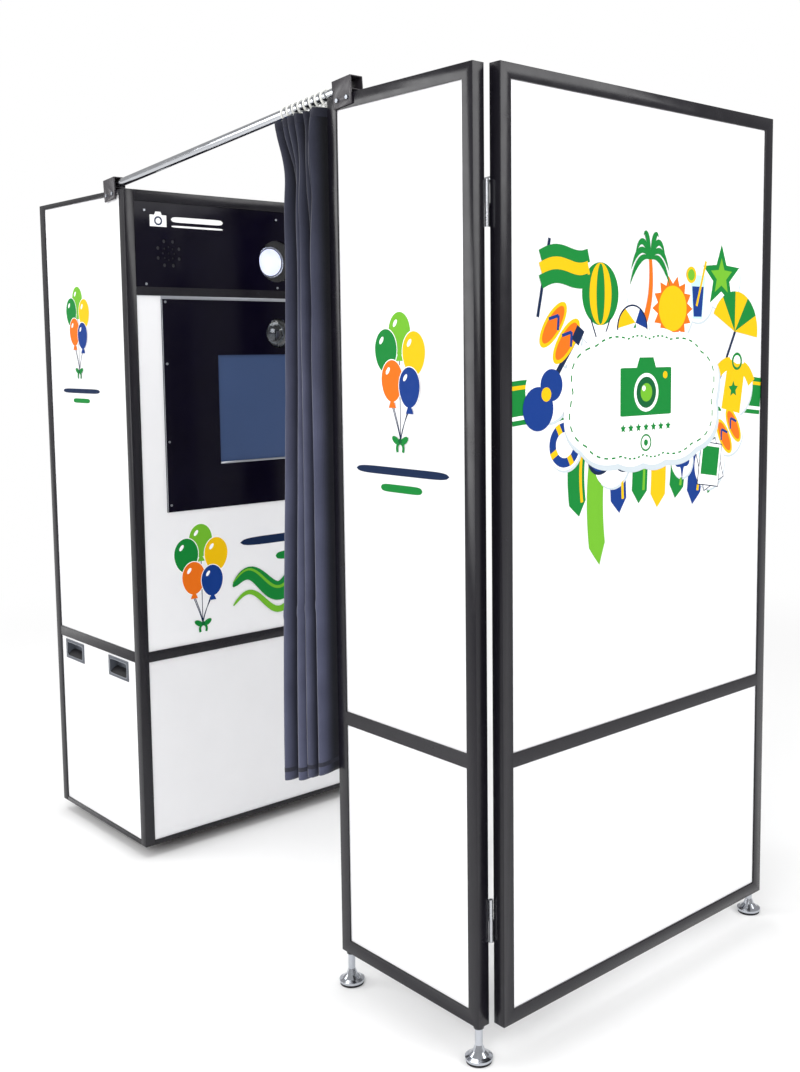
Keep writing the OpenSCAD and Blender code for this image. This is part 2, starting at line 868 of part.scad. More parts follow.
// Socket with three blades at the left, rocker well at the right
module mains_inlet() {
    w = inlet_w / 2;
    h = inlet_h / 2;
    socket_w = 25;
    socket_h = 17;
    y0 = inlet_c[0] - w + 3;
    z0 = inlet_c[1] - socket_h / 2;
    color("#1d1d20") {
        difference() {
            union() {
                block([rear_face - 2, inlet_c[0] - w - 3, inlet_c[1] - h - 3],
                    [rear_face, inlet_c[0] + w + 3, inlet_c[1] + h + 3]);
                block([rear_face - 1, inlet_c[0] - w, inlet_c[1] - h],
                    [rear_face + inlet_d, inlet_c[0] + w, inlet_c[1] + h]);
            }
            block([rear_face - 3, y0, z0], [rear_face + 16, y0 + socket_w, z0 + socket_h]);
            block([rear_face - 3, rocker_y - rocker_w / 2 - 0.5, inlet_c[1] - rocker_h / 2 - 1.5],
                [rear_face + 12, rocker_y + rocker_w / 2 + 0.5, inlet_c[1] + rocker_h / 2 + 1.5]);
            bar_y([rocker_x + 3, rocker_y - rocker_w / 2 - 2, inlet_c[1]], 3 + 2 * fit, rocker_w + 4);
        }
        for (p = [[-7, -2], [0, 3], [7, -2]])
            block([rear_face + 2, y0 + socket_w / 2 + p[0] - 1, inlet_c[1] + p[1] - 2],
                [rear_face + 17, y0 + socket_w / 2 + p[0] + 1, inlet_c[1] + p[1] + 2]);
    }
}

module power_switch() {
    c = [rocker_x + 3, rocker_y, inlet_c[1]];
    color("#b02020") translate(c) {
        difference() {
            block([-5, -rocker_w / 2, -rocker_h / 2], [3, rocker_w / 2, rocker_h / 2]);
            translate([-8.4, -rocker_w, 0]) rotate([0, 9, 0]) cube([4, 2 * rocker_w, rocker_h]);
            translate([-8.4, -rocker_w, 0]) rotate([0, 81, 0]) cube([rocker_h, 2 * rocker_w, 4]);
        }
        bar_y([0, -rocker_w / 2 - 1.5, 0], 3, rocker_w + 3);
    }
}

// ---- service door ----

module door_knuckle(z, h) {
    bar_z([door_axis[0], door_axis[1], z], door_barrel_d, h);
}

module rear_door() {
    vent_n = 10;
    color("white") difference() {
        union() {
            difference() {
                block([cab_x0, -door_y, door_z0], [cab_x0 + door_d, door_y, door_z1]);
                block([cab_x0 + sheet_t, -door_y + sheet_t, door_z0 + sheet_t],
                    [cab_x0 + door_d + 1, door_y - sheet_t, door_z1 - sheet_t]);
            }
            for (z = door_hinge_zs) {
                door_knuckle(z, door_hinge_l / 2);
                block([cab_x0 - door_leaf_t, door_axis[1] - door_leaf_w, z],
                    [cab_x0 + 0.5, door_axis[1] - 1, z + door_hinge_l / 2]);
                block([door_axis[0], door_axis[1] - 5, z],
                    [cab_x0, door_axis[1] - 2, z + door_hinge_l / 2]);
            }
        }
        for (z = door_hinge_zs)
            bar_z([door_axis[0], door_axis[1], z - 1], pin_d + 2 * fit, door_hinge_l / 2 + 2);
        bar_x([cab_x0 - 1, lock_y, lock_z], lock_d + 2 * fit, sheet_t + 2);
        for (i = [0:vent_n - 1])
            block([cab_x0 - 1, -120, door_z1 - 80 - i * 20], [cab_x0 + sheet_t + 1, 120,
                door_z1 - 72 - i * 20]);
    }
}

module door_lock() {
    head_d = lock_d + 4;
    color("silver") {
        bar_x([cab_x0 - pass - 3, lock_y, lock_z], head_d, 3);
        bar_x([cab_x0 - pass - 1, lock_y, lock_z], lock_d, tongue_x + 2 - cab_x0 + 1);
        block([tongue_x, lock_y - 8, lock_z - lock_tongue], [tongue_x + 2.5, lock_y + 8, lock_z + 8]);
    }
}

module door_pin(z) {
    z0 = z - pass - door_hinge_l / 2;
    door_knuckle(z0, door_hinge_l / 2);
    block([cab_x0 - door_leaf_t, door_axis[1] + 1.5, z0],
        [cab_x0, door_axis[1] + door_leaf_w, z0 + door_hinge_l / 2]);
    block([door_axis[0], door_axis[1] + 2, z0], [cab_x0, door_axis[1] + 4.5, z0 + door_hinge_l / 2]);
    bar_z([door_axis[0], door_axis[1], z0], pin_d, door_hinge_l - 4);
}

// ---- screen hinges ----

// Lower knuckle with its pin, welded to the back wall's inner face
module screen_pin(z) {
    half = hinge_l / 2;
    z0 = z - half;
    bar_z([pin_x, -pin_y, z0], barrel_d, half - pass / 2);
    block([wall_x0 - leaf_t, -pin_y - 1, z0], [wall_x0, -pin_y + leaf_w, z0 + half - pass / 2]);
    bar_z([pin_x, -pin_y, z0], pin_d, hinge_l - 4);
}

// Upper knuckle, welded to the wing's inner face
module wing_knuckle(z) {
    half = hinge_l / 2;
    z0 = z + pass / 2;
    difference() {
        union() {
            bar_z([pin_x, -pin_y, z0], barrel_d, half);
            block([pin_x - leaf_w, -in_y, z0], [pin_x - 1, -in_y + leaf_t, z0 + half]);
        }
        bar_z([pin_x, -pin_y, z0 - 1], pin_d + 2 * fit, half + 2);
    }
}

module hinge_pins() {
    color("silver") {
        for (z = door_hinge_zs)
            door_pin(z);
        both_sides() for (z = hinge_zs)
            screen_pin(z);
    }
}

module near_wing_knuckles() {
    color("silver") for (z = hinge_zs)
        wing_knuckle(z);
}

module far_wing_knuckles() {
    far() near_wing_knuckles();
}

// ---- screen frames ----

screen_rail_zs = [screen_bottom, screen_mid, screen_top - tube];

// Threaded collar under a post, bored for the foot's spindle
module collar(x) {
    difference() {
        bar_z([x, -foot_y, screen_bottom - collar_h], collar_d, collar_h);
        bar_z([x, -foot_y, screen_bottom - collar_h - 1], spindle_d + 2 * fit, collar_h + 2);
    }
}

// A wing's post, open below where the foot's spindle enters
module wing_post(x) {
    difference() {
        hollow([x, -side_y, screen_bottom], [x + tube, -in_y, screen_top], "closed");
        bar_z([x + tube / 2, -foot_y, screen_bottom - 1], spindle_d + 2, tube_wall + 2);
    }
}

module near_wing_frame() {
    color("#1b1b1e") {
        wing_post(wing_x0);
        wing_post(wing_x1 - tube);
        for (z = screen_rail_zs)
            hollow([wing_x0 + tube, -side_y, z], [wing_x1 - tube, -in_y, z + tube], "x");
        for (x = foot_xs)
            collar(x);
    }
}

module far_wing_frame() {
    far() near_wing_frame();
}

module near_wing_panels() {
    y = side_y - panel_set;
    color("white") for (i = [0, 1])
        block([wing_x0 + tube, -y, screen_rail_zs[i] + tube],
            [wing_x1 - tube, -y + panel_t, screen_rail_zs[i + 1]]);
}

module far_wing_panels() {
    far() near_wing_panels();
}

module back_wall_frame() {
    color("#1b1b1e") {
        both_sides()
            hollow([wall_x0, -wall_y, screen_bottom], [wall_x1, -wall_y + tube, screen_top], "closed");
        for (z = screen_rail_zs)
            hollow([wall_x0, -wall_y + tube, z], [wall_x1, wall_y - tube, z + tube], "y");
    }
}

module back_wall_panels() {
    x = wall_x1 - panel_set;
    color("white") for (i = [0, 1])
        block([x - panel_t, -wall_y + tube, screen_rail_zs[i] + tube],
            [x, wall_y - tube, screen_rail_zs[i + 1]]);
}

// ---- levelling feet ----

// Bell-shaped base, sleeve and spindle, turned in one profile
module foot(x) {
    sleeve_top = screen_bottom - collar_h - pass;
    r = foot_d / 2;
    s = sleeve_d / 2;
    color("silver") translate([x, -foot_y, 0]) rotate_extrude() difference() {
        union() {
            square([r - 2, pad_h]);
            translate([0, pad_h - 0.01]) square([r, 5]);
            translate([0, pad_h]) square([s, sleeve_top - pad_h]);
            translate([0, pad_h]) polygon([[0, 0], [r, 5], [r - 8, 9], [s + 5, 17], [s, bell_h], [0, bell_h]]);
            square([spindle_d / 2, screen_bottom + 34]);
        }
        translate([-r, 0]) square([r, screen_top]);
    }
}

module near_free_foot() { foot(foot_xs[0]); }
module near_corner_foot() { foot(foot_xs[1]); }
module far_free_foot() { far() foot(foot_xs[0]); }
module far_corner_foot() { far() foot(foot_xs[1]); }

// ---- rods, saddles, curtains ----

// Local frame of the rod: X along it from the cabinet's saddle, Z square to it
module along_rod(u) {
    translate([saddle_a[0] + u * cos(slope), 0, saddle_a[1] + saddle_lift + u * sin(slope)])
        rotate([0, -slope, 0]) children();
}

// A square tube that the rod enters, with its outer wall carried down as a plate
module saddle(u) {
    l = saddle_l / 2;
    out = -side_y - pass;
    hole_d = 5.4;
    along_rod(u) difference() {
        union() {
            block([-l, out - plate_t, 0], [l, -in_y, tube]);
            block([-l, out - plate_t, tube - saddle_h], [l, out, tube]);
        }
        block([-l - 1, out, saddle_wall], [l + 1, -in_y - saddle_wall, tube - saddle_wall]);
        for (x = [-17, 17])
            bar_y([x, out - plate_t - 1, -14], hole_d, plate_t + 2);
    }
}

module rod_saddles() {
    color("#4a4548") both_sides() {
        saddle(0);
        saddle(span);
    }
}

module curtain_rods() {
    l = span + saddle_l / 2 - rod_end_in - rod_wing_in;
    plug = 10;
    color("silver") both_sides()
        along_rod(-saddle_l / 2 + rod_end_in) difference() {
            bar_x([0, -rod_y, rod_up], rod_d, l);
            bar_x([plug, -rod_y, rod_up], rod_d - 2 * rod_wall, l - 2 * plug);
        }
}

module near_curtain_rings() {
    step = (curtain_l - 2 * ring_edge) / (ring_n - 1);
    color("white") for (i = [0:ring_n - 1])
        along_rod(curtain_u0 + ring_edge + i * step)
            translate([0, -rod_y, rod_up - ring_drop]) rotate([0, 90, 0])
                rotate_extrude($fn = 32) translate([ring_r, 0]) circle(d = ring_wire, $fn = 16);
}

module far_curtain_rings() {
    far() near_curtain_rings();
}

// The drawn-back curtain hangs plumb under its rings
module near_curtain() {
    x0 = saddle_a[0] + curtain_u0 * cos(slope);
    x1 = x0 + curtain_l * cos(slope);
    lift = saddle_lift + (rod_up - ring_low - pass) / cos(slope);
    z0 = saddle_a[1] + (x0 - saddle_a[0]) * tan(slope) + lift;
    z1 = saddle_a[1] + (x1 - saddle_a[0]) * tan(slope) + lift;
    color("#33354a") translate([0, -rod_y + curtain_t / 2, 0]) rotate([90, 0, 0])
        linear_extrude(curtain_t) polygon([[x0, curtain_low], [x1, curtain_low], [x1, z1], [x0, z0]]);
}

module far_curtain() {
    far() near_curtain();
}

// ---- handles and screws ----

// Pressed dishes with a bezel, let into the lower end panels
module lifting_handles() {
    w = grip_w / 2;
    h = grip_h / 2;
    y = -side_y + panel_set;
    wall = 2;
    color("#8c93a0") both_sides() for (x = grip_xs())
        difference() {
            union() {
                block([x - w, y - bezel_t, grip_z - h], [x + w, y, grip_z + h]);
                block([x - w + grip_lip, y - 1, grip_z - h + grip_lip],
                    [x + w - grip_lip, y + grip_d - panel_set - 1, grip_z + h - grip_lip]);
            }
            block([x - w + grip_lip + wall, y - bezel_t - 1, grip_z - h + grip_lip + wall],
                [x + w - grip_lip - wall, y + grip_d - panel_set - 1 - wall, grip_z + h - grip_lip - wall]);
        }
}

// A pan-head screw standing out along +X
module screw_x(x, y, z) {
    bar_x([x, y, z], 7, 2);
}

module saddle_screws(u) {
    along_rod(u) for (x = [-17, 17]) {
        bar_y([x, -side_y - pass - plate_t - 3, -14], 9, 3);
        bar_y([x, -side_y - pass - plate_t, -14], 5, plate_t - 0.2);
    }
}

module fascia_screws() {
    color("silver") {
        for (y = [-in_y + 32, 0, in_y - 32], z = [fascia_z + 8, cab_top - tube - 24])
            screw_x(face_x, y, z);
        for (s = [-1, 1], z = [inst_z + 20, inst_z + inst_h / 3, inst_z + inst_h * 2 / 3 + 20, inst_top - 8])
            screw_x(inst_face, s * (inst_w / 2 - 12), z);
        both_sides() {
            saddle_screws(0);
            saddle_screws(span);
        }
    }
}

cabinet_posts();
cabinet_rails();
cabinet_end_panels();
cabinet_top_cover();
cabinet_base();
caster_fork_1();
caster_fork_2();
caster_fork_3();
caster_fork_4();
caster_wheel_1();
caster_wheel_2();
caster_wheel_3();
caster_wheel_4();
top_fascia();
fascia_bars();
graphic_panel();
instrument_panel();
lower_front_panel();
camera_dome();
camera();
equipment_mounts();
flash_window();
flash_head();
speakers();
monitor_case();
monitor_screen();
computer_case();
photo_printer();
paper_roll();
print_chute();
print_flap();
power_supply();
fan_housing();
fan_rotor();
mains_inlet();
power_switch();
rear_door();
rear_lower_panel();
hinge_pins();
door_lock();
lifting_handles();
fascia_screws();
back_wall_frame();
back_wall_panels();
near_wing_frame();
near_wing_panels();
near_wing_knuckles();
far_wing_frame();
far_wing_panels();
far_wing_knuckles();
near_free_foot();
near_corner_foot();
far_free_foot();
far_corner_foot();
curtain_rods();
rod_saddles();
near_curtain();
near_curtain_rings();
far_curtain();
far_curtain_rings();
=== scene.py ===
"""Looks of a portable photo booth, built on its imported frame.

The booth is an equipment cabinet on castors, a folding screen on levelling
feet and two curtains on sloping rods. Each sub-assembly is a class that dresses
its CAD nodes and adds the pieces that CAD leaves plain.
"""

import json
import logging
import math
from dataclasses import dataclass, field
from enum import Enum
from typing import Callable

import bmesh
import bpy
import numpy as np
from mathutils import Matrix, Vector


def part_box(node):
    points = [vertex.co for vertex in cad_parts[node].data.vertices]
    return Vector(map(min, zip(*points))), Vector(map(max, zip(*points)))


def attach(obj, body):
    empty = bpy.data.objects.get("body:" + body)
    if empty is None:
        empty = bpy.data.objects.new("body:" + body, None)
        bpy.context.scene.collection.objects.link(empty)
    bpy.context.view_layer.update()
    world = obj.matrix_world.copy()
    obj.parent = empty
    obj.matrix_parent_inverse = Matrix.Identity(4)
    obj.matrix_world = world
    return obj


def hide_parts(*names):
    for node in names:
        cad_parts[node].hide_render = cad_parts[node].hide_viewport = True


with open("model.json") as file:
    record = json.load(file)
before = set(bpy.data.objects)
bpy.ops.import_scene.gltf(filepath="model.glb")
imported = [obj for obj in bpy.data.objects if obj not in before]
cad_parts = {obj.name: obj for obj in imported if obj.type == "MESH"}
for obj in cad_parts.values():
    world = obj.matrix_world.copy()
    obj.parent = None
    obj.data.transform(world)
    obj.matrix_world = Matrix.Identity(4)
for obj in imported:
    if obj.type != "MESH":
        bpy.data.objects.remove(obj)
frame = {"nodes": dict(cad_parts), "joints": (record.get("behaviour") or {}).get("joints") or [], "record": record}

LOG = logging.getLogger("booth")
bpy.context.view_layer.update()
MM = 0.001
# A wave texture of scale 1 has one band every 2π/20 units.
BANDS_PER_UNIT = 0.314
BODY_OF = {
    node: body
    for body, nodes in frame["record"]["behaviour"]["bodies"].items()
    for node in nodes
}


# ---- colour, nodes and finishes ----


def linear(code: str) -> tuple[float, float, float, float]:
    """Turns an sRGB hex colour into the linear colour a shader wants.

    Args:
        code: the colour as "#rrggbb".

    Returns:
        Linear red, green, blue and an alpha of 1.
    """
    raw = [int(code[i : i + 2], 16) / 255 for i in (1, 3, 5)]
    lin = [c / 12.92 if c <= 0.04045 else ((c + 0.055) / 1.055) ** 2.4 for c in raw]
    return (lin[0], lin[1], lin[2], 1.0)


def add(tree: bpy.types.NodeTree, kind: str, settings: dict, links: dict) -> bpy.types.Node:
    """Adds one shader node with its settings and its incoming links.

    Args:
        tree: the material's node tree.
        kind: the node's type name without "ShaderNode".
        settings: property names or socket names (or numbers) and their values.
        links: socket names (or numbers) and the output sockets that feed them.

    Returns:
        The new node.
    """
    node = tree.nodes.new("ShaderNode" + kind)
    for key, value in settings.items():
        if isinstance(key, int) or key in node.inputs:
            node.inputs[key].default_value = value
        else:
            setattr(node, key, value)
    for key, socket in links.items():
        tree.links.new(socket, node.inputs[key])
    return node


def noise(
    tree: bpy.types.NodeTree, where: bpy.types.NodeSocket, scale: float, detail: float = 2.0,
    rough: float = 0.5,
) -> bpy.types.NodeSocket:
    """Adds a noise texture.

    Args:
        tree: the material's node tree.
        where: the coordinates it is read at.
        scale: lumps per metre.
        detail: how many finer octaves are added.
        rough: how strong each finer octave is.

    Returns:
        The noise's value socket.
    """
    settings = {"Scale": scale, "Detail": detail, "Roughness": rough}
    return add(tree, "TexNoise", settings, {"Vector": where}).outputs["Fac"]


def spread(
    tree: bpy.types.NodeTree, value: bpy.types.NodeSocket, low: float, high: float,
    start: float = 0.0, stop: float = 1.0, smooth: bool = False,
) -> bpy.types.NodeSocket:
    """Carries a value's range start to stop over to the range low to high.

    Args:
        tree: the material's node tree.
        value: the value's socket.
        low: what start turns into.
        high: what stop turns into.
        start: the value where the change begins.
        stop: the value where it ends.
        smooth: whether it eases in and out.

    Returns:
        The result's socket.
    """
    ends = {"From Min": start, "From Max": stop, "To Min": low, "To Max": high}
    ease = {"interpolation_type": "SMOOTHSTEP" if smooth else "LINEAR"}
    return add(tree, "MapRange", ease | ends, {"Value": value}).outputs["Result"]


def blend(
    tree: bpy.types.NodeTree, share: bpy.types.NodeSocket, first: str, second: str
) -> bpy.types.NodeSocket:
    """Mixes two hex colours.

    Args:
        tree: the material's node tree.
        share: the second colour's share.
        first: the first colour.
        second: the second colour.

    Returns:
        The mixed colour's socket.
    """
    tones = {"data_type": "RGBA", 6: linear(first), 7: linear(second)}
    return add(tree, "Mix", tones, {0: share}).outputs[2]


def maths(
    tree: bpy.types.NodeTree, operation: str, first: bpy.types.NodeSocket,
    second: bpy.types.NodeSocket | float | None = None,
) -> bpy.types.NodeSocket:
    """Adds a sum on one or two values.

    Args:
        tree: the material's node tree.
        operation: the math node's operation.
        first: the first value's socket.
        second: the second value's socket, or a number.

    Returns:
        The result's socket.
    """
    number = isinstance(second, float)
    settings = {"operation": operation} | ({1: second} if number else {})
    links = {0: first} | ({} if number or second is None else {1: second})
    return add(tree, "Math", settings, links).outputs[0]


def blank(name: str) -> bpy.types.Material:
    """Makes a named material whose node tree is empty.

    Args:
        name: the material's name.

    Returns:
        The material.
    """
    made = bpy.data.materials.new(name)
    made.use_nodes = True
    made.node_tree.nodes.clear()
    return made


def corners(node: str) -> tuple[np.ndarray, np.ndarray, np.ndarray]:
    """Gives a CAD node's low corner, high corner and middle."""
    low, high = (np.array(c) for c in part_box(node))
    return low, high, (low + high) / 2


class Grain(Enum):
    """How a surface's small relief runs."""

    PEEL = (1.0, 1.0, 1.0)
    BRUSHED_X = (0.06, 1.0, 1.0)
    BRUSHED_Y = (1.0, 0.06, 1.0)
    BRUSHED_Z = (1.0, 1.0, 0.06)


@dataclass(frozen=True)
class Finish:
    """A painted, moulded, plated or rolled surface.

    The colour drifts between base and shade over patches of patch_mm, the
    roughness between its two limits over a third of that, and the relief is a
    noise of grain_mm across and height_mm high. The name is a maker's word.
    """

    name: str
    base: str
    shade: str
    rough: tuple[float, float]
    grain: Grain = Grain.PEEL
    grain_mm: float = 1.6
    height_mm: float = 0.02
    patch_mm: float = 140.0
    metallic: float = 0.0
    specular: float = 0.5
    coat: float = 0.0
    coat_rough: float = 0.05
    clear: float = 0.0
    glow: float = 0.0

    def shader(self, tree: bpy.types.NodeTree) -> bpy.types.Node:
        """Builds the finish in a node tree.

        Args:
            tree: the material's empty node tree.

        Returns:
            The Principled shader node, already wired to the output.
        """
        place = add(tree, "TexCoord", {}, {}).outputs["Object"]
        tint = blend(
            tree, noise(tree, place, 1000 / self.patch_mm, 3.0, 0.55), self.base, self.shade
        )
        smear = noise(tree, place, 3000 / self.patch_mm, 5.0, 0.6)
        matt = spread(tree, smear, *self.rough, 0.3, 0.7)
        drawn = add(tree, "Mapping", {"Scale": self.grain.value}, {"Vector": place})
        relief = noise(tree, drawn.outputs["Vector"], 1000 / self.grain_mm)
        bump = add(
            tree, "Bump", {"Strength": 0.6, "Distance": self.height_mm * MM}, {"Height": relief}
        )
        body = add(
            tree, "BsdfPrincipled",
            {
                "Metallic": self.metallic, "Specular IOR Level": self.specular,
                "Coat Weight": self.coat, "Coat Roughness": self.coat_rough,
                "Transmission Weight": self.clear,
            },
            {"Base Color": tint, "Roughness": matt, "Normal": bump.outputs["Normal"]},
        )
        if self.glow:
            tree.links.new(tint, body.inputs["Emission Color"])
            body.inputs["Emission Strength"].default_value = self.glow
        add(tree, "OutputMaterial", {}, {"Surface": body.outputs["BSDF"]})
        return body

    def material(self) -> bpy.types.Material:
        """Makes the finish into its named material.

        Returns:
            The material.
        """
        made = blank(self.name)
        self.shader(made.node_tree)
        return made


@dataclass(frozen=True)
class Banded(Finish):
    """A finish with a band of a second, non-metallic one between two heights.

    Between low and high metres above the floor the colour is second and the
    roughness second_rough.
    """

    second: str = "#202020"
    second_rough: float = 0.7
    low: float = 0.0
    high: float = 0.006

    def shader(self, tree: bpy.types.NodeTree) -> bpy.types.Node:
        """Builds the plain finish and mixes the band in by height.

        Args:
            tree: the material's empty node tree.

        Returns:
            The Principled shader node, fed through the band's mixers.
        """
        body = super().shader(tree)
        place = add(tree, "TexCoord", {}, {}).outputs["Object"]
        height = add(tree, "SeparateXYZ", {}, {"Vector": place}).outputs["Z"]
        over = maths(tree, "GREATER_THAN", height, self.low)
        under = maths(tree, "LESS_THAN", height, self.high)
        band = maths(tree, "MULTIPLY", over, under)
        for name, slot, value in (
            ("Base Color", (6, 7, 2), linear(self.second)),
            ("Roughness", (2, 3, 0), self.second_rough),
            ("Metallic", (2, 3, 0), 0.0),
        ):
            kind = "RGBA" if name == "Base Color" else "FLOAT"
            mix = add(tree, "Mix", {"data_type": kind, slot[1]: value}, {0: band})
            socket = body.inputs[name]
            if socket.links:
                tree.links.new(socket.links[0].from_socket, mix.inputs[slot[0]])
            else:
                mix.inputs[slot[0]].default_value = socket.default_value
            tree.links.new(mix.outputs[slot[2]], socket)
        return body


@dataclass(frozen=True)
class Cloth:
    """Woven polyester curtain cloth.

    Warp and weft are two crossed waves on the cloth's own UV map, whose unit is
    the metre. The real threads lie 0.4 mm apart, too fine to show, so the weave
    is drawn at weave_mm. A soft sheen lifts the folds' edges and a slow noise
    shades the cloth where it has been handled. Shade and light are painted on
    the folds: the colour is darkest near the hanging plane at hang_at, in the
    grooves, and brightest on the outward folds, from fold_shade_from to fold_shade_to beyond
    that plane.
    The top, down to header metres below the hooks, is darkened by painted shade.
    """

    name: str = "navy_cloth"
    base: str = "#4b4e63"
    shade: str = "#313345"
    weave_mm: float = 2.4
    hang_at: float = 0.5
    fold_shade_from: float = 0.010
    fold_shade_to: float = 0.044
    header: float = 0.80

    def material(self) -> bpy.types.Material:
        """Makes the cloth into its named material.

        Returns:
            The material.
        """
        made = blank(self.name)
        tree = made.node_tree
        flat = add(tree, "UVMap", {"uv_map": "UVMap"}, {}).outputs["UV"]
        pitch = BANDS_PER_UNIT * 1000 / self.weave_mm
        warp = add(
            tree, "TexWave", {"bands_direction": "X", "Scale": pitch, "Distortion": 0.4},
            {"Vector": flat},
        )
        weft = add(
            tree, "TexWave", {"bands_direction": "Y", "Scale": pitch, "Distortion": 0.4},
            {"Vector": flat},
        )
        weave = maths(tree, "ADD", warp.outputs["Fac"], weft.outputs["Fac"])
        tint = blend(tree, noise(tree, flat, 9.0, 5.0), self.base, self.shade)
        thread = spread(tree, weave, 0.82, 1.12, 0.0, 2.0)
        place = add(tree, "TexCoord", {}, {}).outputs["Object"]
        depth = maths(
            tree, "ABSOLUTE", add(tree, "SeparateXYZ", {}, {"Vector": place}).outputs["Y"]
        )
        # Painted shade and light on the folds: darker near the hanging plane, in the grooves, lighter on the
        # outward folds.
        near, far = self.hang_at + self.fold_shade_from, self.hang_at + self.fold_shade_to
        fold_shading = spread(tree, depth, 0.22, 1.38, near, far, smooth=True)
        # Painted shade: the top of the cloth is darker, down to header metres below the hooks.
        rise = add(tree, "SeparateXYZ", {}, {"Vector": flat}).outputs["Y"]
        top_shade = spread(tree, rise, 1.0, 0.38, 1 - self.header, 1.0, smooth=True)
        value = maths(tree, "MULTIPLY", maths(tree, "MULTIPLY", thread, fold_shading), top_shade)
        toned = add(tree, "HueSaturation", {}, {"Color": tint, "Value": value})
        rough = spread(tree, noise(tree, flat, 260.0), 0.62, 0.85)
        bump = add(
            tree, "Bump", {"Strength": 0.35, "Distance": 0.3 * MM}, {"Height": weave}
        )
        body = add(
            tree, "BsdfPrincipled",
            {"Sheen Weight": 0.22, "Sheen Roughness": 0.4, "Specular IOR Level": 0.3},
            {
                "Base Color": toned.outputs["Color"], "Roughness": rough,
                "Normal": bump.outputs["Normal"],
            },
        )
        add(tree, "OutputMaterial", {}, {"Surface": body.outputs["BSDF"]})
        return made


@dataclass(frozen=True)
class PaleFloor:
    """Matt white studio floor that melts into the bright surround far away."""

    name: str = "studio_floor"
    tone: str = "#fafafa"
    near: float = 1.6
    far: float = 4.5

    def material(self) -> bpy.types.Material:
        """Makes the floor's material: matt paint near, an even glow far off.

        Returns:
            The material.
        """
        made = blank(self.name)
        tree = made.node_tree
        place = add(tree, "TexCoord", {}, {}).outputs["Object"]
        reach = add(tree, "VectorMath", {"operation": "LENGTH"}, {0: place})
        fade = spread(tree, reach.outputs["Value"], 0.0, 1.0, self.near, self.far, smooth=True)
        matt = spread(tree, noise(tree, place, 40.0), 0.7, 0.85)
        paint = add(
            tree, "BsdfPrincipled", {"Base Color": linear(self.tone), "Specular IOR Level": 0.2},
            {"Roughness": matt},
        )
        glow = add(tree, "Emission", {"Color": (1, 1, 1, 1), "Strength": 1.0}, {})
        both = add(
            tree, "MixShader", {},
            {0: fade, 1: paint.outputs["BSDF"], 2: glow.outputs["Emission"]},
        )
        add(tree, "OutputMaterial", {}, {"Surface": both.outputs["Shader"]})
        return made


@dataclass(frozen=True)
class WoundPaper:
    """A roll of photographic paper: fine rings on its ends from the wound edge."""

    name: str = "wound_paper"
    base: str = "#f1efe8"
    shade: str = "#c9c5b8"
    ring_mm: float = 1.2

    def material(self) -> bpy.types.Material:
        """Makes the roll's material, with rings about the CAD roll's own axis.

        Returns:
            The material.
        """
        centre = corners("paper_roll")[2]
        made = blank(self.name)
        tree = made.node_tree
        place = add(tree, "TexCoord", {}, {}).outputs["Object"]
        moved = add(tree, "Mapping", {"Location": tuple(-centre)}, {"Vector": place})
        pitch = BANDS_PER_UNIT * 1000 / self.ring_mm
        rings = add(
            tree, "TexWave", {"wave_type": "RINGS", "rings_direction": "X", "Scale": pitch},
            {"Vector": moved.outputs["Vector"]},
        )
        tint = blend(tree, rings.outputs["Fac"], self.shade, self.base)
        body = add(tree, "BsdfPrincipled", {"Roughness": 0.55}, {"Base Color": tint})
        add(tree, "OutputMaterial", {}, {"Surface": body.outputs["BSDF"]})
        return made


# Polyester powder coat on steel tube: deep black, glossy, with a fine orange peel.
FRAME_COAT = Finish(
    "black_powder_coat", "#0d0b12", "#16141c", (0.18, 0.28),
    grain_mm=2.2, height_mm=0.02, specular=0.36,
)
# High-pressure laminate: bright white, faintly uneven gloss from wiping.
WHITE_LAMINATE = Finish(
    "white_laminate", "#f6f6f7", "#eeeef1", (0.30, 0.42), grain_mm=0.9, height_mm=0.006,
)
# The same sheet in a light grey, under the picture panel.
GREY_LAMINATE = Finish(
    "grey_laminate", "#efeff1", "#e8e8ea", (0.34, 0.46), grain_mm=0.9, height_mm=0.006,
)
# Cast acrylic: black with a violet cast, mirror-like with fine wipe marks.
BLACK_ACRYLIC = Finish(
    "black_acrylic", "#06040f", "#0b081a", (0.08, 0.15), grain_mm=40, height_mm=0.03, specular=0.11,
)
# Anodised aluminium extrusion: pale and satin, drawn lengthwise.
ANODISED = Finish(
    "satin_aluminium", "#b9bcc2", "#a6a9b0", (0.28, 0.42), Grain.BRUSHED_Y, 0.7, 0.01, metallic=1.0,
)
# Chromed steel: bright, with faint drawing lines along the tube.
CHROME = Finish(
    "chrome_plate", "#d3d5d9", "#bfc2c8", (0.07, 0.18), Grain.BRUSHED_X, 0.9, 0.006, metallic=1.0,
)
# Zinc-plated steel: cooler and duller than chrome.
ZINC = Finish(
    "zinc_plate", "#a9adb4", "#8d9198", (0.28, 0.46), Grain.PEEL, 1.2, 0.02, 30, metallic=1.0,
)
# Stainless hinge leaf: brushed up and down.
STAINLESS = Finish(
    "brushed_stainless", "#c2c4c8", "#a9abb0", (0.22, 0.38),
    Grain.BRUSHED_Z, 0.6, 0.012, metallic=1.0,
)
# Enamelled pressing: slate grey and satin.
ENAMEL = Finish(
    "grey_enamel", "#5b6069", "#4a4e56", (0.30, 0.45), grain_mm=1.4, height_mm=0.02, patch_mm=40,
)
# Black ABS with spark-eroded grain.
ABS_BLACK = Finish(
    "black_abs", "#17171a", "#1f1f23", (0.45, 0.6), grain_mm=0.7, height_mm=0.05, patch_mm=60,
)
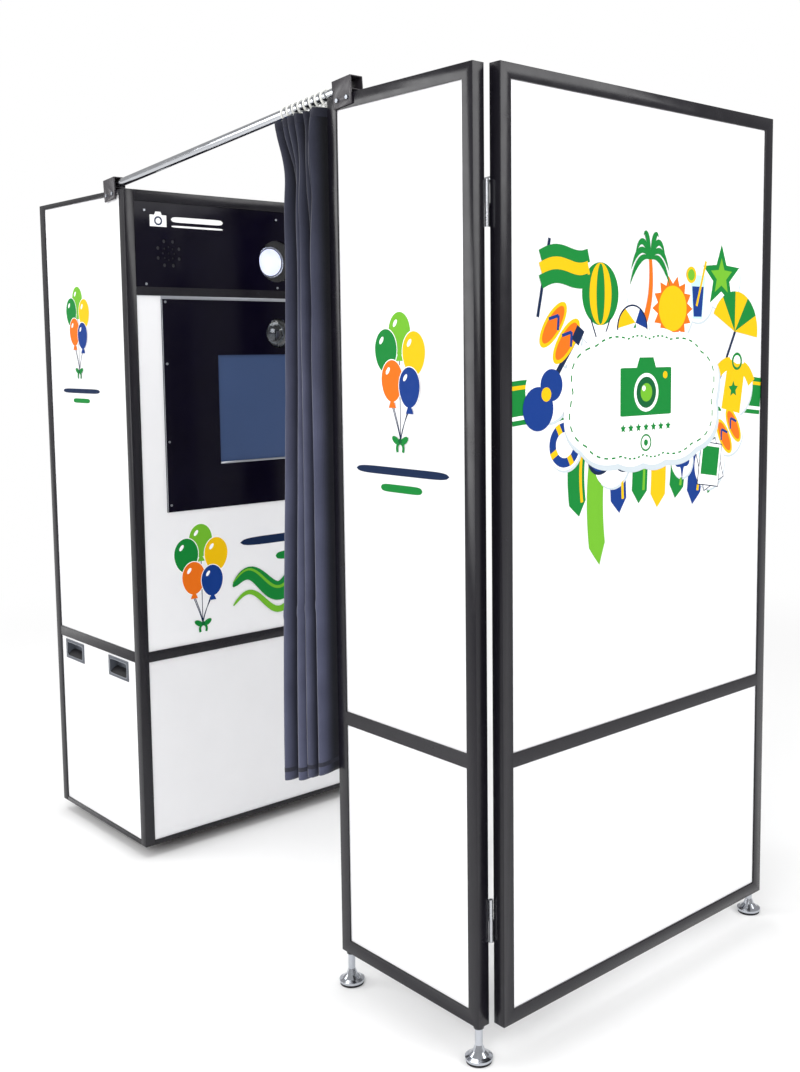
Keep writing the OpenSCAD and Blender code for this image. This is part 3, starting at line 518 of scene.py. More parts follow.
# Charcoal powder coat, half matt, on the printer and computer.
CASE_COAT = Finish(
    "charcoal_coat", "#2b2c31", "#35363c", (0.4, 0.55), grain_mm=0.8, height_mm=0.05, patch_mm=90,
)
# Film-faced plywood: dark phenolic film with a mesh print, brown.
FILM_PLY = Finish(
    "film_faced_ply", "#3b2c22", "#4a382b", (0.35, 0.55), grain_mm=1.8, height_mm=0.05, patch_mm=45,
)
# Polypropylene curtain ring: milky white and slightly soft-looking.
RING_WHITE = Finish(
    "white_polypropylene", "#f2f2ee", "#e3e3dd", (0.25, 0.4),
    grain_mm=1.0, height_mm=0.01, patch_mm=20,
)
# Grey castor tread: rubber, matt and scuffed.
TREAD = Finish(
    "castor_tread", "#4b4c51", "#3a3b40", (0.6, 0.85), grain_mm=0.8, height_mm=0.08, patch_mm=12,
)
# Hardened window over the flash, smoked so lightly that it only looks milky.
SMOKED = Finish(
    "smoked_glass", "#e9ebf4", "#e0e3ee", (0.03, 0.08), grain_mm=60, height_mm=0.01, clear=1.0,
)
# Clear polycarbonate camera dome.
CLEAR_DOME = Finish(
    "clear_polycarbonate", "#dfe6ee", "#d3dbe4", (0.02, 0.05),
    grain_mm=60, height_mm=0.01, clear=1.0,
)
# Diffusing lens of the flash: pearl white, a little light of its own.
PEARL = Finish(
    "pearl_diffuser", "#ffffff", "#aab2cf", (0.2, 0.35),
    grain_mm=6, height_mm=0.3, patch_mm=34, glow=1.5,
)
# Multi-coated camera lens: nearly black glass with a blue-violet sheen.
LENS_GLASS = Finish(
    "coated_lens", "#0a0a1c", "#1c1440", (0.02, 0.05), patch_mm=30, height_mm=0.0, coat=1.0,
)
# Satin charcoal coat on the rod saddles.
SADDLE_COAT = Finish(
    "charcoal_saddle_coat", "#2a272b", "#38343a", (0.3, 0.45),
    grain_mm=1.4, height_mm=0.04, patch_mm=30,
)
# Levelling foot: chromed bell on a black rubber pad.
FOOT = Banded(
    "levelling_foot", "#c9ccd2", "#b4b8c0", (0.10, 0.22), Grain.PEEL, 1.5, 0.01, 40, metallic=1.0,
    second="#17171a", second_rough=0.8, low=-0.001, high=0.0059,
)
# Unlit display under an anti-glare film, its gloss spread wide. The blue-grey colour is partly the panel's own
# dark tone and partly a painted blue reflection.
DISPLAY = Finish(
    "unlit_display", "#3d5179", "#33466b", (0.30, 0.38), patch_mm=420, height_mm=0.0, specular=0.3,
)
# Red rocker: glossy ABS.
ROCKER = Finish(
    "red_abs", "#b3201c", "#8f1714", (0.2, 0.3), grain_mm=0.8, height_mm=0.01, patch_mm=10,
)
# Doubled cloth at the curtain's header and hem: darker, a painted shade that stands for the light two layers keep
# out.
TAPE = Finish(
    "curtain_tape", "#262838", "#1c1d2a", (0.6, 0.8), grain_mm=2.0, height_mm=0.1, patch_mm=30,
)
# Powder-coated white door.
DOOR_WHITE = Finish(
    "white_powder_coat", "#f0f0f2", "#e6e6ea", (0.28, 0.4), grain_mm=2.0, height_mm=0.03,
)


class Ink(Enum):
    """The flat vinyl inks of the printed art."""

    GREEN = "#0b8033"
    DEEP = "#075c30"
    LIME = "#6fb52c"
    YELLOW = "#eebd00"
    ORANGE = "#e86f12"
    BLUE = "#0c3784"
    NAVY = "#0d2346"
    SKY = "#bfe3ea"
    WHITE = "#ffffff"
    GREY = "#c8d2d8"


AnyFinish = Finish | Cloth | PaleFloor | WoundPaper
_MADE: dict[str, bpy.types.Material] = {}


def finish(kind: AnyFinish) -> bpy.types.Material:
    """Makes a finish once and returns the same material after that.

    Args:
        kind: the finish.

    Returns:
        Its material.
    """
    if kind.name not in _MADE:
        _MADE[kind.name] = kind.material()
    return _MADE[kind.name]


def ink(kind: Ink) -> bpy.types.Material:
    """Makes solvent ink on white vinyl: flat colour, matt, with a faint banding noise.

    Args:
        kind: the ink.

    Returns:
        Its material.
    """
    tone = Finish(
        "ink_" + kind.name.lower(), kind.value, kind.value, (0.45, 0.6), grain_mm=0.8,
        height_mm=0.01, patch_mm=50, specular=0.12,
    )
    return finish(tone)


def dress(kind: AnyFinish, *nodes: str) -> None:
    """Gives every slot of each CAD node one finish.

    Args:
        kind: the finish.
        nodes: the CAD nodes' names.
    """
    made = finish(kind)
    for node in nodes:
        for slot in frame["nodes"][node].material_slots:
            slot.material = made


# ---- surfaces ----


def keep(obj: bpy.types.Object, body: str) -> bpy.types.Object:
    """Lets a finished piece ride on its body.

    Args:
        obj: the piece.
        body: the CAD body it moves with.

    Returns:
        The piece.
    """
    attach(obj, body)
    LOG.info("piece %s rides on %s", obj.name, body)
    return obj


def surface(
    name: str,
    grids: list[tuple[np.ndarray, int]],
    materials: list[bpy.types.Material],
    closed: bool = False,
    uv: np.ndarray | None = None,
    smooth: bool = True,
) -> bpy.types.Object:
    """Makes one mesh from grids of points.

    Each grid is rows by columns by 3; neighbouring rows and columns span quads,
    so the surface is the grid's bilinear patchwork.

    Args:
        name: the new object's name.
        grids: arrays of points, each with its material's number.
        materials: the materials.
        closed: whether the faces' outward side is worked out afresh.
        uv: texture coordinates per vertex, for a single grid.
        smooth: whether faces are shaded smooth.

    Returns:
        The new object.
    """
    verts, faces, slots, start = [], [], [], 0
    for grid, slot in grids:
        rows, cols = grid.shape[:2]
        ids = start + np.arange(rows * cols).reshape(rows, cols)
        quad = np.stack([ids[:-1, :-1], ids[:-1, 1:], ids[1:, 1:], ids[1:, :-1]], -1).reshape(-1, 4)
        verts.append(grid.reshape(-1, 3))
        faces.append(quad)
        slots.append(np.full(len(quad), slot))
        start += rows * cols
    points, quads = np.concatenate(verts), np.concatenate(faces)
    mesh = bpy.data.meshes.new(name)
    mesh.from_pydata(points.tolist(), [], quads.tolist())
    for made in materials:
        mesh.materials.append(made)
    mesh.polygons.foreach_set("material_index", np.concatenate(slots).astype(np.int32))
    mesh.polygons.foreach_set("use_smooth", np.full(len(quads), smooth))
    if uv is not None:
        layer = mesh.uv_layers.new(name="UVMap")
        layer.data.foreach_set("uv", uv.reshape(-1, 2)[quads.ravel()].ravel().astype(np.float32))
    work = bmesh.new()
    work.from_mesh(mesh)
    bmesh.ops.remove_doubles(work, verts=work.verts, dist=2e-6)
    if closed:
        bmesh.ops.recalc_face_normals(work, faces=work.faces)
    work.to_mesh(mesh)
    work.free()
    mesh.update()
    obj = bpy.data.objects.new(name, mesh)
    bpy.context.scene.collection.objects.link(obj)
    return obj


def turned(profile: np.ndarray, at: np.ndarray, axis: str = "x", count: int = 64) -> np.ndarray:
    """Turns a profile round an axis: point = at + along·axis + radius·(cos, sin).

    Args:
        profile: rows of (along, radius) in metres.
        at: the axis's zero point.
        axis: "x", "y" or "z".
        count: how many steps go round.

    Returns:
        A grid of points, one row per profile point.
    """
    turn = np.linspace(0, 2 * np.pi, count + 1)
    along, radius = profile[:, :1], profile[:, 1:]
    flat = np.stack([along + 0 * turn, radius * np.cos(turn), radius * np.sin(turn)], -1)
    order = {"x": (0, 1, 2), "y": (2, 0, 1), "z": (1, 2, 0)}[axis]
    return flat[..., order] + at


def piped(path: np.ndarray, radius: float | np.ndarray, count: int = 12) -> np.ndarray:
    """Carries a circle along a path, square to it, and closes both ends.

    A frame at each point comes from the path's direction and a fixed side
    vector; the circle is centre + radius·(cos·side + sin·up).

    Args:
        path: points of the centreline.
        radius: the pipe's radius, one number or one per point.
        count: steps round the circle.

    Returns:
        A grid of points, with a collapsed ring at each end.
    """
    radius = np.broadcast_to(radius, len(path)).astype(float)
    ahead = np.gradient(path, axis=0)
    ahead /= np.linalg.norm(ahead, axis=1, keepdims=True)
    guess = np.where(np.abs(ahead[:, :1]) < 0.9, [[1.0, 0, 0]], [[0, 1.0, 0]])
    side = np.cross(ahead, guess)
    side /= np.linalg.norm(side, axis=1, keepdims=True)
    up = np.cross(ahead, side)
    turn = np.linspace(0, 2 * np.pi, count + 1)[None, :, None]
    ring = side[:, None] * np.cos(turn) + up[:, None] * np.sin(turn)
    grid = path[:, None] + ring * radius[:, None, None]
    first = np.repeat(path[:1, None], count + 1, 1)
    last = np.repeat(path[-1:, None], count + 1, 1)
    return np.concatenate([first, grid, last])


def soften(kind: Finish, width_mm: float, node: str) -> bpy.types.Object:
    """Copies a CAD node with its corners rounded, and shows the copy in its place.

    Args:
        kind: the finish.
        width_mm: the bevel's width.
        node: the CAD node's name.

    Returns:
        The rounded copy.
    """
    mesh = frame["nodes"][node].data.copy()
    work = bmesh.new()
    work.from_mesh(mesh)
    bmesh.ops.remove_doubles(work, verts=work.verts, dist=1e-6)
    bmesh.ops.dissolve_limit(work, angle_limit=0.005, verts=work.verts, edges=work.edges)
    bmesh.ops.recalc_face_normals(work, faces=work.faces)
    work.to_mesh(mesh)
    work.free()
    mesh.polygons.foreach_set("use_smooth", np.ones(len(mesh.polygons), bool))
    mesh.materials.clear()
    mesh.materials.append(finish(kind))
    obj = bpy.data.objects.new(node + "_rounded", mesh)
    bpy.context.scene.collection.objects.link(obj)
    edge = obj.modifiers.new("rounded_edges", "BEVEL")
    edge.width = width_mm * MM
    edge.segments = 2
    edge.limit_method = "ANGLE"
    edge.angle_limit = math.radians(40)
    edge.harden_normals = True
    keep(obj, BODY_OF[node])
    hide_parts(node)
    return obj


# ---- printed art ----


Spot = tuple[float, float]


@dataclass
class Sheet:
    """A flat printed face: art is laid on it in layers, each a hair over the last.

    Points on it are (across, up) in metres. Every drawing method lays one patch
    in one ink on one layer.
    """

    origin: tuple[float, float, float]
    across: tuple[float, float, float]
    out: tuple[float, float, float]
    gap: float = 0.00008
    patches: list[tuple[np.ndarray, Ink, int]] = field(default_factory=list)
    about: Spot = (0.0, 0.0)
    factor: float = 1.0

    def grow(self, about: Spot, factor: float) -> None:
        """Makes the patches that follow larger or smaller about a point."""
        self.about, self.factor = about, factor

    def lay(self, flat: np.ndarray, tone: Ink, layer: int) -> None:
        """Adds a patch.

        Args:
            flat: a grid of (across, up) points.
            tone: its ink.
            layer: how high it lies over the others.
        """
        about = np.array(self.about)
        self.patches.append((about + (flat - about) * self.factor, tone, layer))

    def fan(self, at: Spot, edge: np.ndarray, tone: Ink, layer: int, turn: float = 0.0) -> None:
        """Adds the patch between a point and an edge: point + s·edge, s from 0 to 1.

        Args:
            at: the point.
            edge: the edge's points, measured from it.
            tone: the ink.
            layer: the layer.
            turn: the angle by which the edge is turned about the point.
        """
        c, s = math.cos(turn), math.sin(turn)
        turned_edge = edge @ np.array([[c, s], [-s, c]])
        step = np.array([0.0, 1.0])[:, None, None]
        self.lay(np.array(at) + step * turned_edge, tone, layer)

    def blob(
        self, at: Spot, radius: Callable[[np.ndarray], np.ndarray], tone: Ink, layer: int,
        turn: float = 0.0, squash: float = 1.0, count: int = 72,
    ) -> None:
        """Adds a star-shaped patch: centre + s·r(angle), for s from 0 to 1.

        Args:
            at: the centre.
            radius: gives the radius at each angle.
            tone: the ink.
            layer: the layer.
            turn: the angle by which the shape is turned.
            squash: the shape's height over its width, before it is turned.
            count: how many steps go round.
        """
        angle = np.linspace(0, 2 * np.pi, count + 1)
        reach = radius(angle)
        edge = np.stack([reach * np.cos(angle), reach * np.sin(angle) * squash], -1)
        self.fan(at, edge, tone, layer, turn)

    def disc(
        self, at: Spot, r: float, tone: Ink, layer: int, squash: float = 1.0, turn: float = 0.0
    ) -> None:
        """Adds an ellipse: r(angle) is constant, then squashed and turned."""
        self.blob(at, lambda a: np.full_like(a, r), tone, layer, turn, squash)

    def polygon(
        self, at: Spot, corner_points: list[Spot], tone: Ink, layer: int, turn: float = 0.0
    ) -> None:
        """Adds a polygon that every corner of is seen from its centre."""
        self.fan(at, np.array(corner_points + corner_points[:1]), tone, layer, turn)

    def plate(self, at: Spot, low: Spot, high: Spot, tone: Ink, layer: int, turn: float = 0.0,
              foot: float = 1.0) -> None:
        """Adds a rectangle or, where foot is not 1, a trapezium.

        Args:
            at: the point it is placed and turned about.
            low: its lower left corner, from that point.
            high: its upper right corner.
            tone: the ink.
            layer: the layer.
            turn: the angle it is turned by.
            foot: the lower edge's length over the upper edge's.
        """
        (a, b), (c, d) = low, high
        points = [(a * foot, b), (c * foot, b), (c, d), (a, d)]
        self.polygon(at, points, tone, layer, turn)

    def ribbon(self, path: np.ndarray, half: float | np.ndarray, tone: Ink, layer: int) -> None:
        """Adds a band: path ± half·normal, where the normal is square to the path.

        Args:
            path: the centre line's points.
            half: half the band's width, one number or one per point.
            tone: the ink.
            layer: the layer.
        """
        ahead = np.gradient(path, axis=0)
        ahead /= np.maximum(np.linalg.norm(ahead, axis=1, keepdims=True), 1e-9)
        normal = np.stack([-ahead[:, 1], ahead[:, 0]], -1)
        wide = np.broadcast_to(half, len(path))[:, None]
        self.lay(np.stack([path - normal * wide, path + normal * wide], 1), tone, layer)

    def rim(self, at: Spot, r: float, wide: float, tone: Ink, layer: int) -> None:
        """Adds a ring: a ribbon along a full circle.

        Args:
            at: the centre.
            r: the circle's radius.
            wide: the ribbon's width.
            tone: the ink.
            layer: the layer.
        """
        a = np.linspace(0, 2 * np.pi, 65)
        path = np.array(at) + r * np.stack([np.cos(a), np.sin(a)], -1)
        self.ribbon(path, wide / 2, tone, layer)

    def line(self, a: Spot, b: Spot, half: float, tone: Ink, layer: int) -> None:
        """Adds a straight bar between two points."""
        t = np.linspace(0, 1, 6)[:, None]
        self.ribbon(np.array(a) * (1 - t) + np.array(b) * t, half, tone, layer)

    def star(
        self, at: Spot, r: float, tips: int, deep: float, tone: Ink, layer: int,
        turn: float = math.pi / 2,
    ) -> None:
        """Adds a star: the radius runs straight from tip to valley and back.

        Args:
            at: the centre.
            r: the tips' radius.
            tips: how many there are.
            deep: how far a valley is cut, as a share of r.
            tone: the ink.
            layer: the layer.
            turn: where the first tip points.
        """
        count = tips * 2
        wave = lambda a: r * (1 - deep * np.abs(((a * count / (2 * np.pi)) + 1) % 2 - 1))
        self.blob(at, wave, tone, layer, turn, count=count)

    def bar(
        self, at: Spot, half_long: float, half_wide: float, tone: Ink, layer: int, blunt: int
    ) -> None:
        """Adds a level bar with rounded ends: its half width is h·√(1 − t^blunt).

        Args:
            at: the bar's middle.
            half_long: half its length.
            half_wide: half its width in the middle.
            tone: the ink.
            layer: the layer.
            blunt: the power; the higher it is, the squarer the ends are.
        """
        t = np.linspace(-1, 1, 40)
        path = np.stack([at[0] + half_long * t, np.full_like(t, at[1])], -1)
        self.ribbon(path, half_wide * np.sqrt(np.maximum(1 - t**blunt, 1e-4)), tone, layer)

    def build(self, name: str, body: str) -> bpy.types.Object:
        """Lays every patch on the face and makes one mesh of them.

        A patch is lifted by its layer and, so that no two of a layer are level,
        by a little more for its place in the order.

        Args:
            name: the piece's name.
            body: the CAD body it rides on.

        Returns:
            The printed piece.
        """
        u, n, up = np.array(self.across, float), np.array(self.out, float), np.array([0, 0, 1.0])
        inks = sorted({tone for _, tone, _ in self.patches}, key=lambda t: t.name)
        grids = []
        for index, (flat, tone, layer) in enumerate(self.patches):
            lift = 0.0001 + self.gap * (layer + (index % 18) / 20)
            spot = np.array(self.origin) + flat[..., :1] * u + flat[..., 1:] * up + n * lift
            d1, d2 = spot[:-1, 1:] - spot[:-1, :-1], spot[1:, :-1] - spot[:-1, :-1]
            d3 = spot[1:, 1:] - spot[:-1, 1:]
            facing = (np.cross(d1, d2) + np.cross(d1, d3)).sum(axis=(0, 1)) @ n
            grids.append((spot if facing > 0 else spot[:, ::-1], inks.index(tone)))
        obj = surface(name, grids, [ink(tone) for tone in inks], smooth=False)
        return keep(obj, body)


def curve(points: list[Spot], count: int = 24) -> np.ndarray:
    """Runs a Bezier curve of any degree through its control points.

    Each point is the sum of binomial(n, k)·t^k·(1−t)^(n−k) times control point k.

    Args:
        points: the control points.
        count: how many points the curve gets.

    Returns:
        The curve's points.
    """
    ctrl = np.array(points, float)
    n = len(ctrl) - 1
    t = np.linspace(0, 1, count)[:, None]
    k = np.arange(n + 1)
    weight = np.array([math.comb(n, int(i)) for i in k]) * t**k * (1 - t) ** (n - k)
    return weight @ ctrl


def balloon_bunch(sheet: Sheet, at: Spot, tall: float) -> None:
    """Draws the booth's emblem: a bunch of party balloons tied with a bow.

    A balloon is an ellipse drawn out to a blunt tip below, its radius being
    r·(1 + 0.16·max(0, −sin)^3), and its string is a Bezier curve to the bow.

    Args:
        sheet: the printed face.
        at: the foot of the strings.
        tall: the emblem's height.
    """
    x, z = at
    tip = lambda a: 1 + 0.16 * np.maximum(0.0, -np.sin(a)) ** 3
    bunch = (
        (0.00, 0.845, 0.122, Ink.LIME), (-0.155, 0.720, 0.125, Ink.GREEN),
        (0.160, 0.700, 0.125, Ink.YELLOW), (-0.085, 0.500, 0.120, Ink.ORANGE),
        (0.110, 0.455, 0.115, Ink.BLUE),
    )
    for i, (dx, dz, r, tone) in enumerate(bunch):
        string = curve([(0, 0.05), (dx * 0.2, 0.2), (dx * 1.1, dz * 0.6), (dx, dz - r)], 20)
        sheet.ribbon(np.array(at) + tall * string, tall * 0.004, Ink.NAVY, 1)
        spot = (x + tall * dx, z + tall * dz)
        sheet.blob(spot, lambda a, r=r: tall * r * 1.05 * tip(a), Ink.WHITE, 2 + 4 * i, squash=1.18)
        sheet.blob(spot, lambda a, r=r: tall * r * tip(a), tone, 3 + 4 * i, squash=1.18)
        glint = (spot[0] - tall * r * 0.38, spot[1] + tall * r * 0.52)
        sheet.disc(glint, tall * r * 0.26, Ink.WHITE, 5 + 4 * i, 0.5, 0.9)
        knot = (spot[0], spot[1] - tall * r * 1.38)
        sheet.polygon(knot, [(-0.012, -0.012), (0.012, -0.012), (0.0, 0.014)], tone, 3 + 4 * i)
    for side in (-1, 1):
        loop = (x + side * tall * 0.045, z + tall * 0.055)
        sheet.disc(loop, tall * 0.05, Ink.GREEN, 22, 0.5, side * 0.5)
        tail = curve([(0, 0.05), (side * 0.05, 0.02), (side * 0.03, -0.03)], 12)
        sheet.ribbon(np.array(at) + tall * tail, tall * 0.012, Ink.GREEN, 22)
    sheet.disc((x, z + tall * 0.05), tall * 0.02, Ink.DEEP, 23)


def caption_bars(sheet: Sheet, at: Spot, wide: float) -> None:
    """Draws two plain rounded bars where a caption would be.

    Args:
        sheet: the printed face.
        at: the middle of the upper bar.
        wide: its length; the lower one is less than half as long.
    """
    x, z = at
    sheet.bar(at, wide / 2, wide * 0.028, Ink.NAVY, 1, 8)
    sheet.bar((x, z - wide * 0.12), wide * 0.45 / 2, wide * 0.028, Ink.GREEN, 1, 8)


class WallArt(Sheet):
    """The back wall's print: holiday icons in a wreath round a cloud badge."""

    def cloud(self, grow: float) -> Callable[[np.ndarray], np.ndarray]:
        """Gives the badge's outline: a superellipse whose rim swells in twelve lobes.

        Its radius is (|cos/w|^3 + |sin/h|^3)^(−1/3)·(1 + 0.05·|sin 6a|) + grow.

        Args:
            grow: how far outside the badge's edge the outline runs.

        Returns:
            A function from angle to radius.
        """
        return lambda a: grow + (1 + 0.05 * np.abs(np.sin(6 * a + 0.4))) * (
            (np.abs(np.cos(a)) / 0.245) ** 3 + (np.abs(np.sin(a)) / 0.132) ** 3
        ) ** (-1 / 3)

    def badge(self, at: Spot) -> None:
        """Draws the cloud badge, its stitched edge and the camera in it.

        Args:
            at: the badge's middle.
        """
        x, z = at
        self.blob((x + 0.005, z - 0.009), self.cloud(0.016), Ink.GREY, 14, count=160)
        self.blob(at, self.cloud(0.012), Ink.WHITE, 15, count=160)
        a = np.linspace(0, 2 * np.pi, 361)
        edge = np.array(at) + self.cloud(-0.006)(a)[:, None] * np.stack([np.cos(a), np.sin(a)], -1)
        for k in range(0, 360, 6):
            self.ribbon(edge[k : k + 4], 0.0019, Ink.GREEN, 16)
        case = lambda a: np.minimum(
            0.088 / np.maximum(np.abs(np.cos(a)), 1e-6), 0.052 / np.maximum(np.abs(np.sin(a)), 1e-6)
        )
        self.blob((x, z + 0.012), case, Ink.GREEN, 17, count=144)
        hump = [(-0.034, -0.01), (0.034, -0.01), (0.024, 0.014), (-0.024, 0.014)]
        self.polygon((x, z + 0.072), hump, Ink.GREEN, 17)
        for dx, dz, r, tone, layer in (
            (0.0, 0.010, 0.042, Ink.WHITE, 18), (0.0, 0.010, 0.034, Ink.DEEP, 19),
            (0.0, 0.010, 0.020, Ink.LIME, 20), (-0.009, 0.019, 0.006, Ink.WHITE, 21),
            (0.066, 0.047, 0.008, Ink.YELLOW, 18),
        ):
            self.disc((x + dx, z + dz), r, tone, layer)
        for k in range(-3, 4):
            self.star((x + k * 0.026, z - 0.066), 0.010, 5, 0.5, Ink.GREEN, 17)
        self.rim((x, z - 0.100), 0.017, 0.004, Ink.GREEN, 17)
        self.disc((x, z - 0.100), 0.007, Ink.GREEN, 17)

    def band(self, z: float) -> None:
        """Draws the waving ribbon behind the badge and its eight hanging tails.

        The ribbon's height is z + 10 mm·sin 2π(1.5·t + 0.1). A tail is a band
        along a Bezier curve whose last three steps narrow to a point.

        Args:
            z: the ribbon's height.
        """
        t = np.linspace(0, 1, 60)
        sway = 0.010 * np.sin(2 * np.pi * (t * 1.5 + 0.1))
        path = np.stack([-0.43 + 0.86 * t, z + sway], -1)
        self.ribbon(path, 0.044, Ink.GREEN, 1)
        self.ribbon(path + [0, 0.030], 0.004, Ink.YELLOW, 2)
        self.ribbon(path - [0, 0.030], 0.004, Ink.WHITE, 2)
        tails = (
            (-0.230, -0.02, 0.235, Ink.GREEN), (-0.165, -0.03, 0.345, Ink.LIME),
            (-0.100, -0.01, 0.240, Ink.BLUE), (-0.035, 0.01, 0.225, Ink.GREEN),
            (0.030, 0.01, 0.240, Ink.YELLOW), (0.095, 0.02, 0.225, Ink.GREEN),
            (0.160, 0.02, 0.245, Ink.BLUE), (0.220, 0.03, 0.225, Ink.GREEN),
        )
        steps = np.arange(20)
        wide = np.where(steps > 16, 0.026 * (19.05 - steps) / 3, 0.026)
        for k, (x, lean, drop, tone) in enumerate(tails):
            fall = curve([(x, z - 0.08), (x + lean, z - 0.6 * drop), (x, z - drop)], 20)
            self.ribbon(fall, wide, tone, 1 + k % 2)
            self.ribbon(fall[:17] + [0.014, 0], 0.004, Ink.LIME if k % 2 else Ink.YELLOW, 3)

    def palm(self, at: Spot) -> None:
        """Draws a palm: a bent, tapering trunk and eight drooping fronds.

        Args:
            at: the icon's middle.
        """
        x, z = at
        trunk = curve([(x - 0.02, z - 0.10), (x + 0.01, z - 0.05), (x, z + 0.03)], 16)
        self.ribbon(trunk, np.linspace(0.009, 0.005, 16), Ink.ORANGE, 9)
        fronds = (
            (-0.066, 0.05, -0.024), (0.066, 0.05, -0.024), (-0.062, 0.075, 0.008),
            (0.062, 0.075, 0.008), (-0.048, 0.095, 0.040), (0.048, 0.095, 0.040),
            (-0.022, 0.100, 0.078), (0.026, 0.100, 0.076),
        )
        wide = 0.0062 * np.sin(np.pi * np.linspace(0.05, 1, 16)) + 0.0003
        for dx, rise, fall in fronds:
            leaf = curve([(x, z + 0.03), (x + dx * 0.55, z + rise), (x + dx, z + fall)], 16)
            self.ribbon(leaf, wide, Ink.GREEN, 10)

    def gores(self, at: Spot, r: float, edges: np.ndarray, tones: list[Ink], layer: int,
              hub: Spot = (0.0, 0.0), steps: int = 12) -> None:
        """Draws wedges of a disc between pairs of angles, all meeting at a hub.

        Args:
            at: the disc's centre.
            r: its radius.
            edges: rows of (first angle, last angle).
            tones: each wedge's ink.
            layer: the layer.
            hub: where the wedges meet, from the centre.
            steps: how many points each wedge's rim has.
        """
        for (first, last), tone in zip(edges, tones):
            a = np.linspace(first, last, steps)
            rim = np.array(at) + r * np.stack([np.cos(a), np.sin(a)], -1)
            meet = np.tile(np.array(at) + np.array(hub), (steps, 1))
            self.lay(np.stack([meet, rim]), tone, layer)

    def ball(self, at: Spot, r: float = 0.038) -> None:
        """Draws a beach ball: three wedges that meet off its middle.

        Args:
            at: the icon's middle.
            r: the ball's radius.
        """
        self.disc(at, r, Ink.WHITE, 9)
        first = np.arange(3) * 2.094
        edges = np.stack([first, first + 1.047], -1)
        self.gores(at, r, edges, [Ink.BLUE, Ink.YELLOW, Ink.GREEN], 10, (0.2 * r, 0.25 * r))
        self.rim(at, r, 0.003, Ink.NAVY, 11)

    def glasses(self, at: Spot) -> None:
        """Draws sunglasses: two rounded lenses, a bridge and arms.

        Args:
            at: the icon's middle.
        """
        x, z = at
        for side in (-1, 1):
            self.disc((x + side * 0.033, z), 0.029, Ink.NAVY, 9, 0.82)
            self.disc((x + side * 0.033, z), 0.022, Ink.BLUE, 10, 0.8)
            hinge, tip = (x + side * 0.058, z + 0.008), (x + side * 0.072, z + 0.022)
            self.line(hinge, tip, 0.003, Ink.NAVY, 9)
        self.line((x - 0.012, z + 0.006), (x + 0.012, z + 0.006), 0.004, Ink.NAVY, 9)

    def parasol(self, at: Spot) -> None:
        """Draws a parasol: a tilted half disc in five gores on a thin pole.

        Args:
            at: the icon's middle.
        """
        x, z = at
        self.line((x + 0.018, z + 0.03), (x - 0.055, z - 0.105), 0.003, Ink.NAVY, 8)
        cuts = np.linspace(-0.15, math.pi - 0.45, 6)
        tones = [Ink.YELLOW, Ink.GREEN, Ink.YELLOW, Ink.GREEN, Ink.YELLOW]
        self.gores(at, 0.075, np.stack([cuts[:-1], cuts[1:]], -1), tones, 9, steps=10)

    def drink(self, at: Spot) -> None:
        """Draws a tall glass with a straw and a slice.

        Args:
            at: the icon's middle.
        """
        x, z = at
        self.plate(at, (-0.024, -0.045), (0.024, 0.04), Ink.SKY, 9, foot=0.625)
        self.plate((x, z - 0.008), (-0.019, -0.033), (0.019, 0.026), Ink.BLUE, 10, foot=0.684)
        self.line((x - 0.004, z - 0.02), (x + 0.026, z + 0.068), 0.003, Ink.YELLOW, 11)
        self.disc((x - 0.022, z + 0.040), 0.016, Ink.YELLOW, 11)
        self.disc((x - 0.022, z + 0.040), 0.011, Ink.LIME, 12)

    def sandals(self, at: Spot, turn: float) -> None:
        """Draws a pair of sandals: two long ovals with a forked strap.

        Args:
            at: the pair's middle.
            turn: the angle they lean by.
        """
        c, s = math.cos(turn), math.sin(turn)
        for dx in (-0.019, 0.019):
            spot = (at[0] + dx * c, at[1] + dx * s)
            self.disc(spot, 0.042, Ink.YELLOW, 9, 0.42, turn + math.pi / 2)
            self.disc(spot, 0.035, Ink.ORANGE, 10, 0.36, turn + math.pi / 2)
            tip = (spot[0] - 0.018 * s, spot[1] + 0.018 * c)
            for side in (-0.013, 0.013):
                self.line(tip, (spot[0] + side * c, spot[1] + side * s), 0.0025, Ink.BLUE, 11)

    def guitar(self, at: Spot) -> None:
        """Draws a small guitar: two bouts, a neck and a sound hole.

        Args:
            at: the icon's middle.
        """
        x, z = at
        self.line((x, z), (x + 0.065, z + 0.082), 0.005, Ink.NAVY, 9)
        self.disc((x - 0.022, z - 0.028), 0.034, Ink.BLUE, 10)
        self.disc((x + 0.008, z + 0.008), 0.025, Ink.BLUE, 10)
        self.disc((x - 0.004, z - 0.006), 0.011, Ink.YELLOW, 11)
        self.line((x + 0.062, z + 0.074), (x + 0.076, z + 0.096), 0.010, Ink.NAVY, 10)

    def shirt(self, at: Spot) -> None:
        """Draws a plain T-shirt that leans a little.

        Args:
            at: the icon's middle.
        """
        lean = -0.2
        body = [(-0.03, -0.05), (0.03, -0.05), (0.028, 0.046), (0.0, 0.040), (-0.028, 0.046)]
        self.polygon(at, body, Ink.YELLOW, 9, lean)
        c, s = math.cos(lean), math.sin(lean)
        for side in (-1, 1):
            sleeve = curve([(side * 0.022, 0.036), (side * 0.036, 0.036), (side * 0.056, 0.014)], 8)
            leant = sleeve @ np.array([[c, s], [-s, c]]) + np.array(at)
            self.ribbon(leant, 0.012, Ink.YELLOW, 10)
        self.rim((at[0] + 0.009, at[1] + 0.044), 0.014, 0.005, Ink.GREEN, 10)
        self.star((at[0] - 0.002, at[1] - 0.008), 0.016, 5, 0.5, Ink.GREEN, 10)

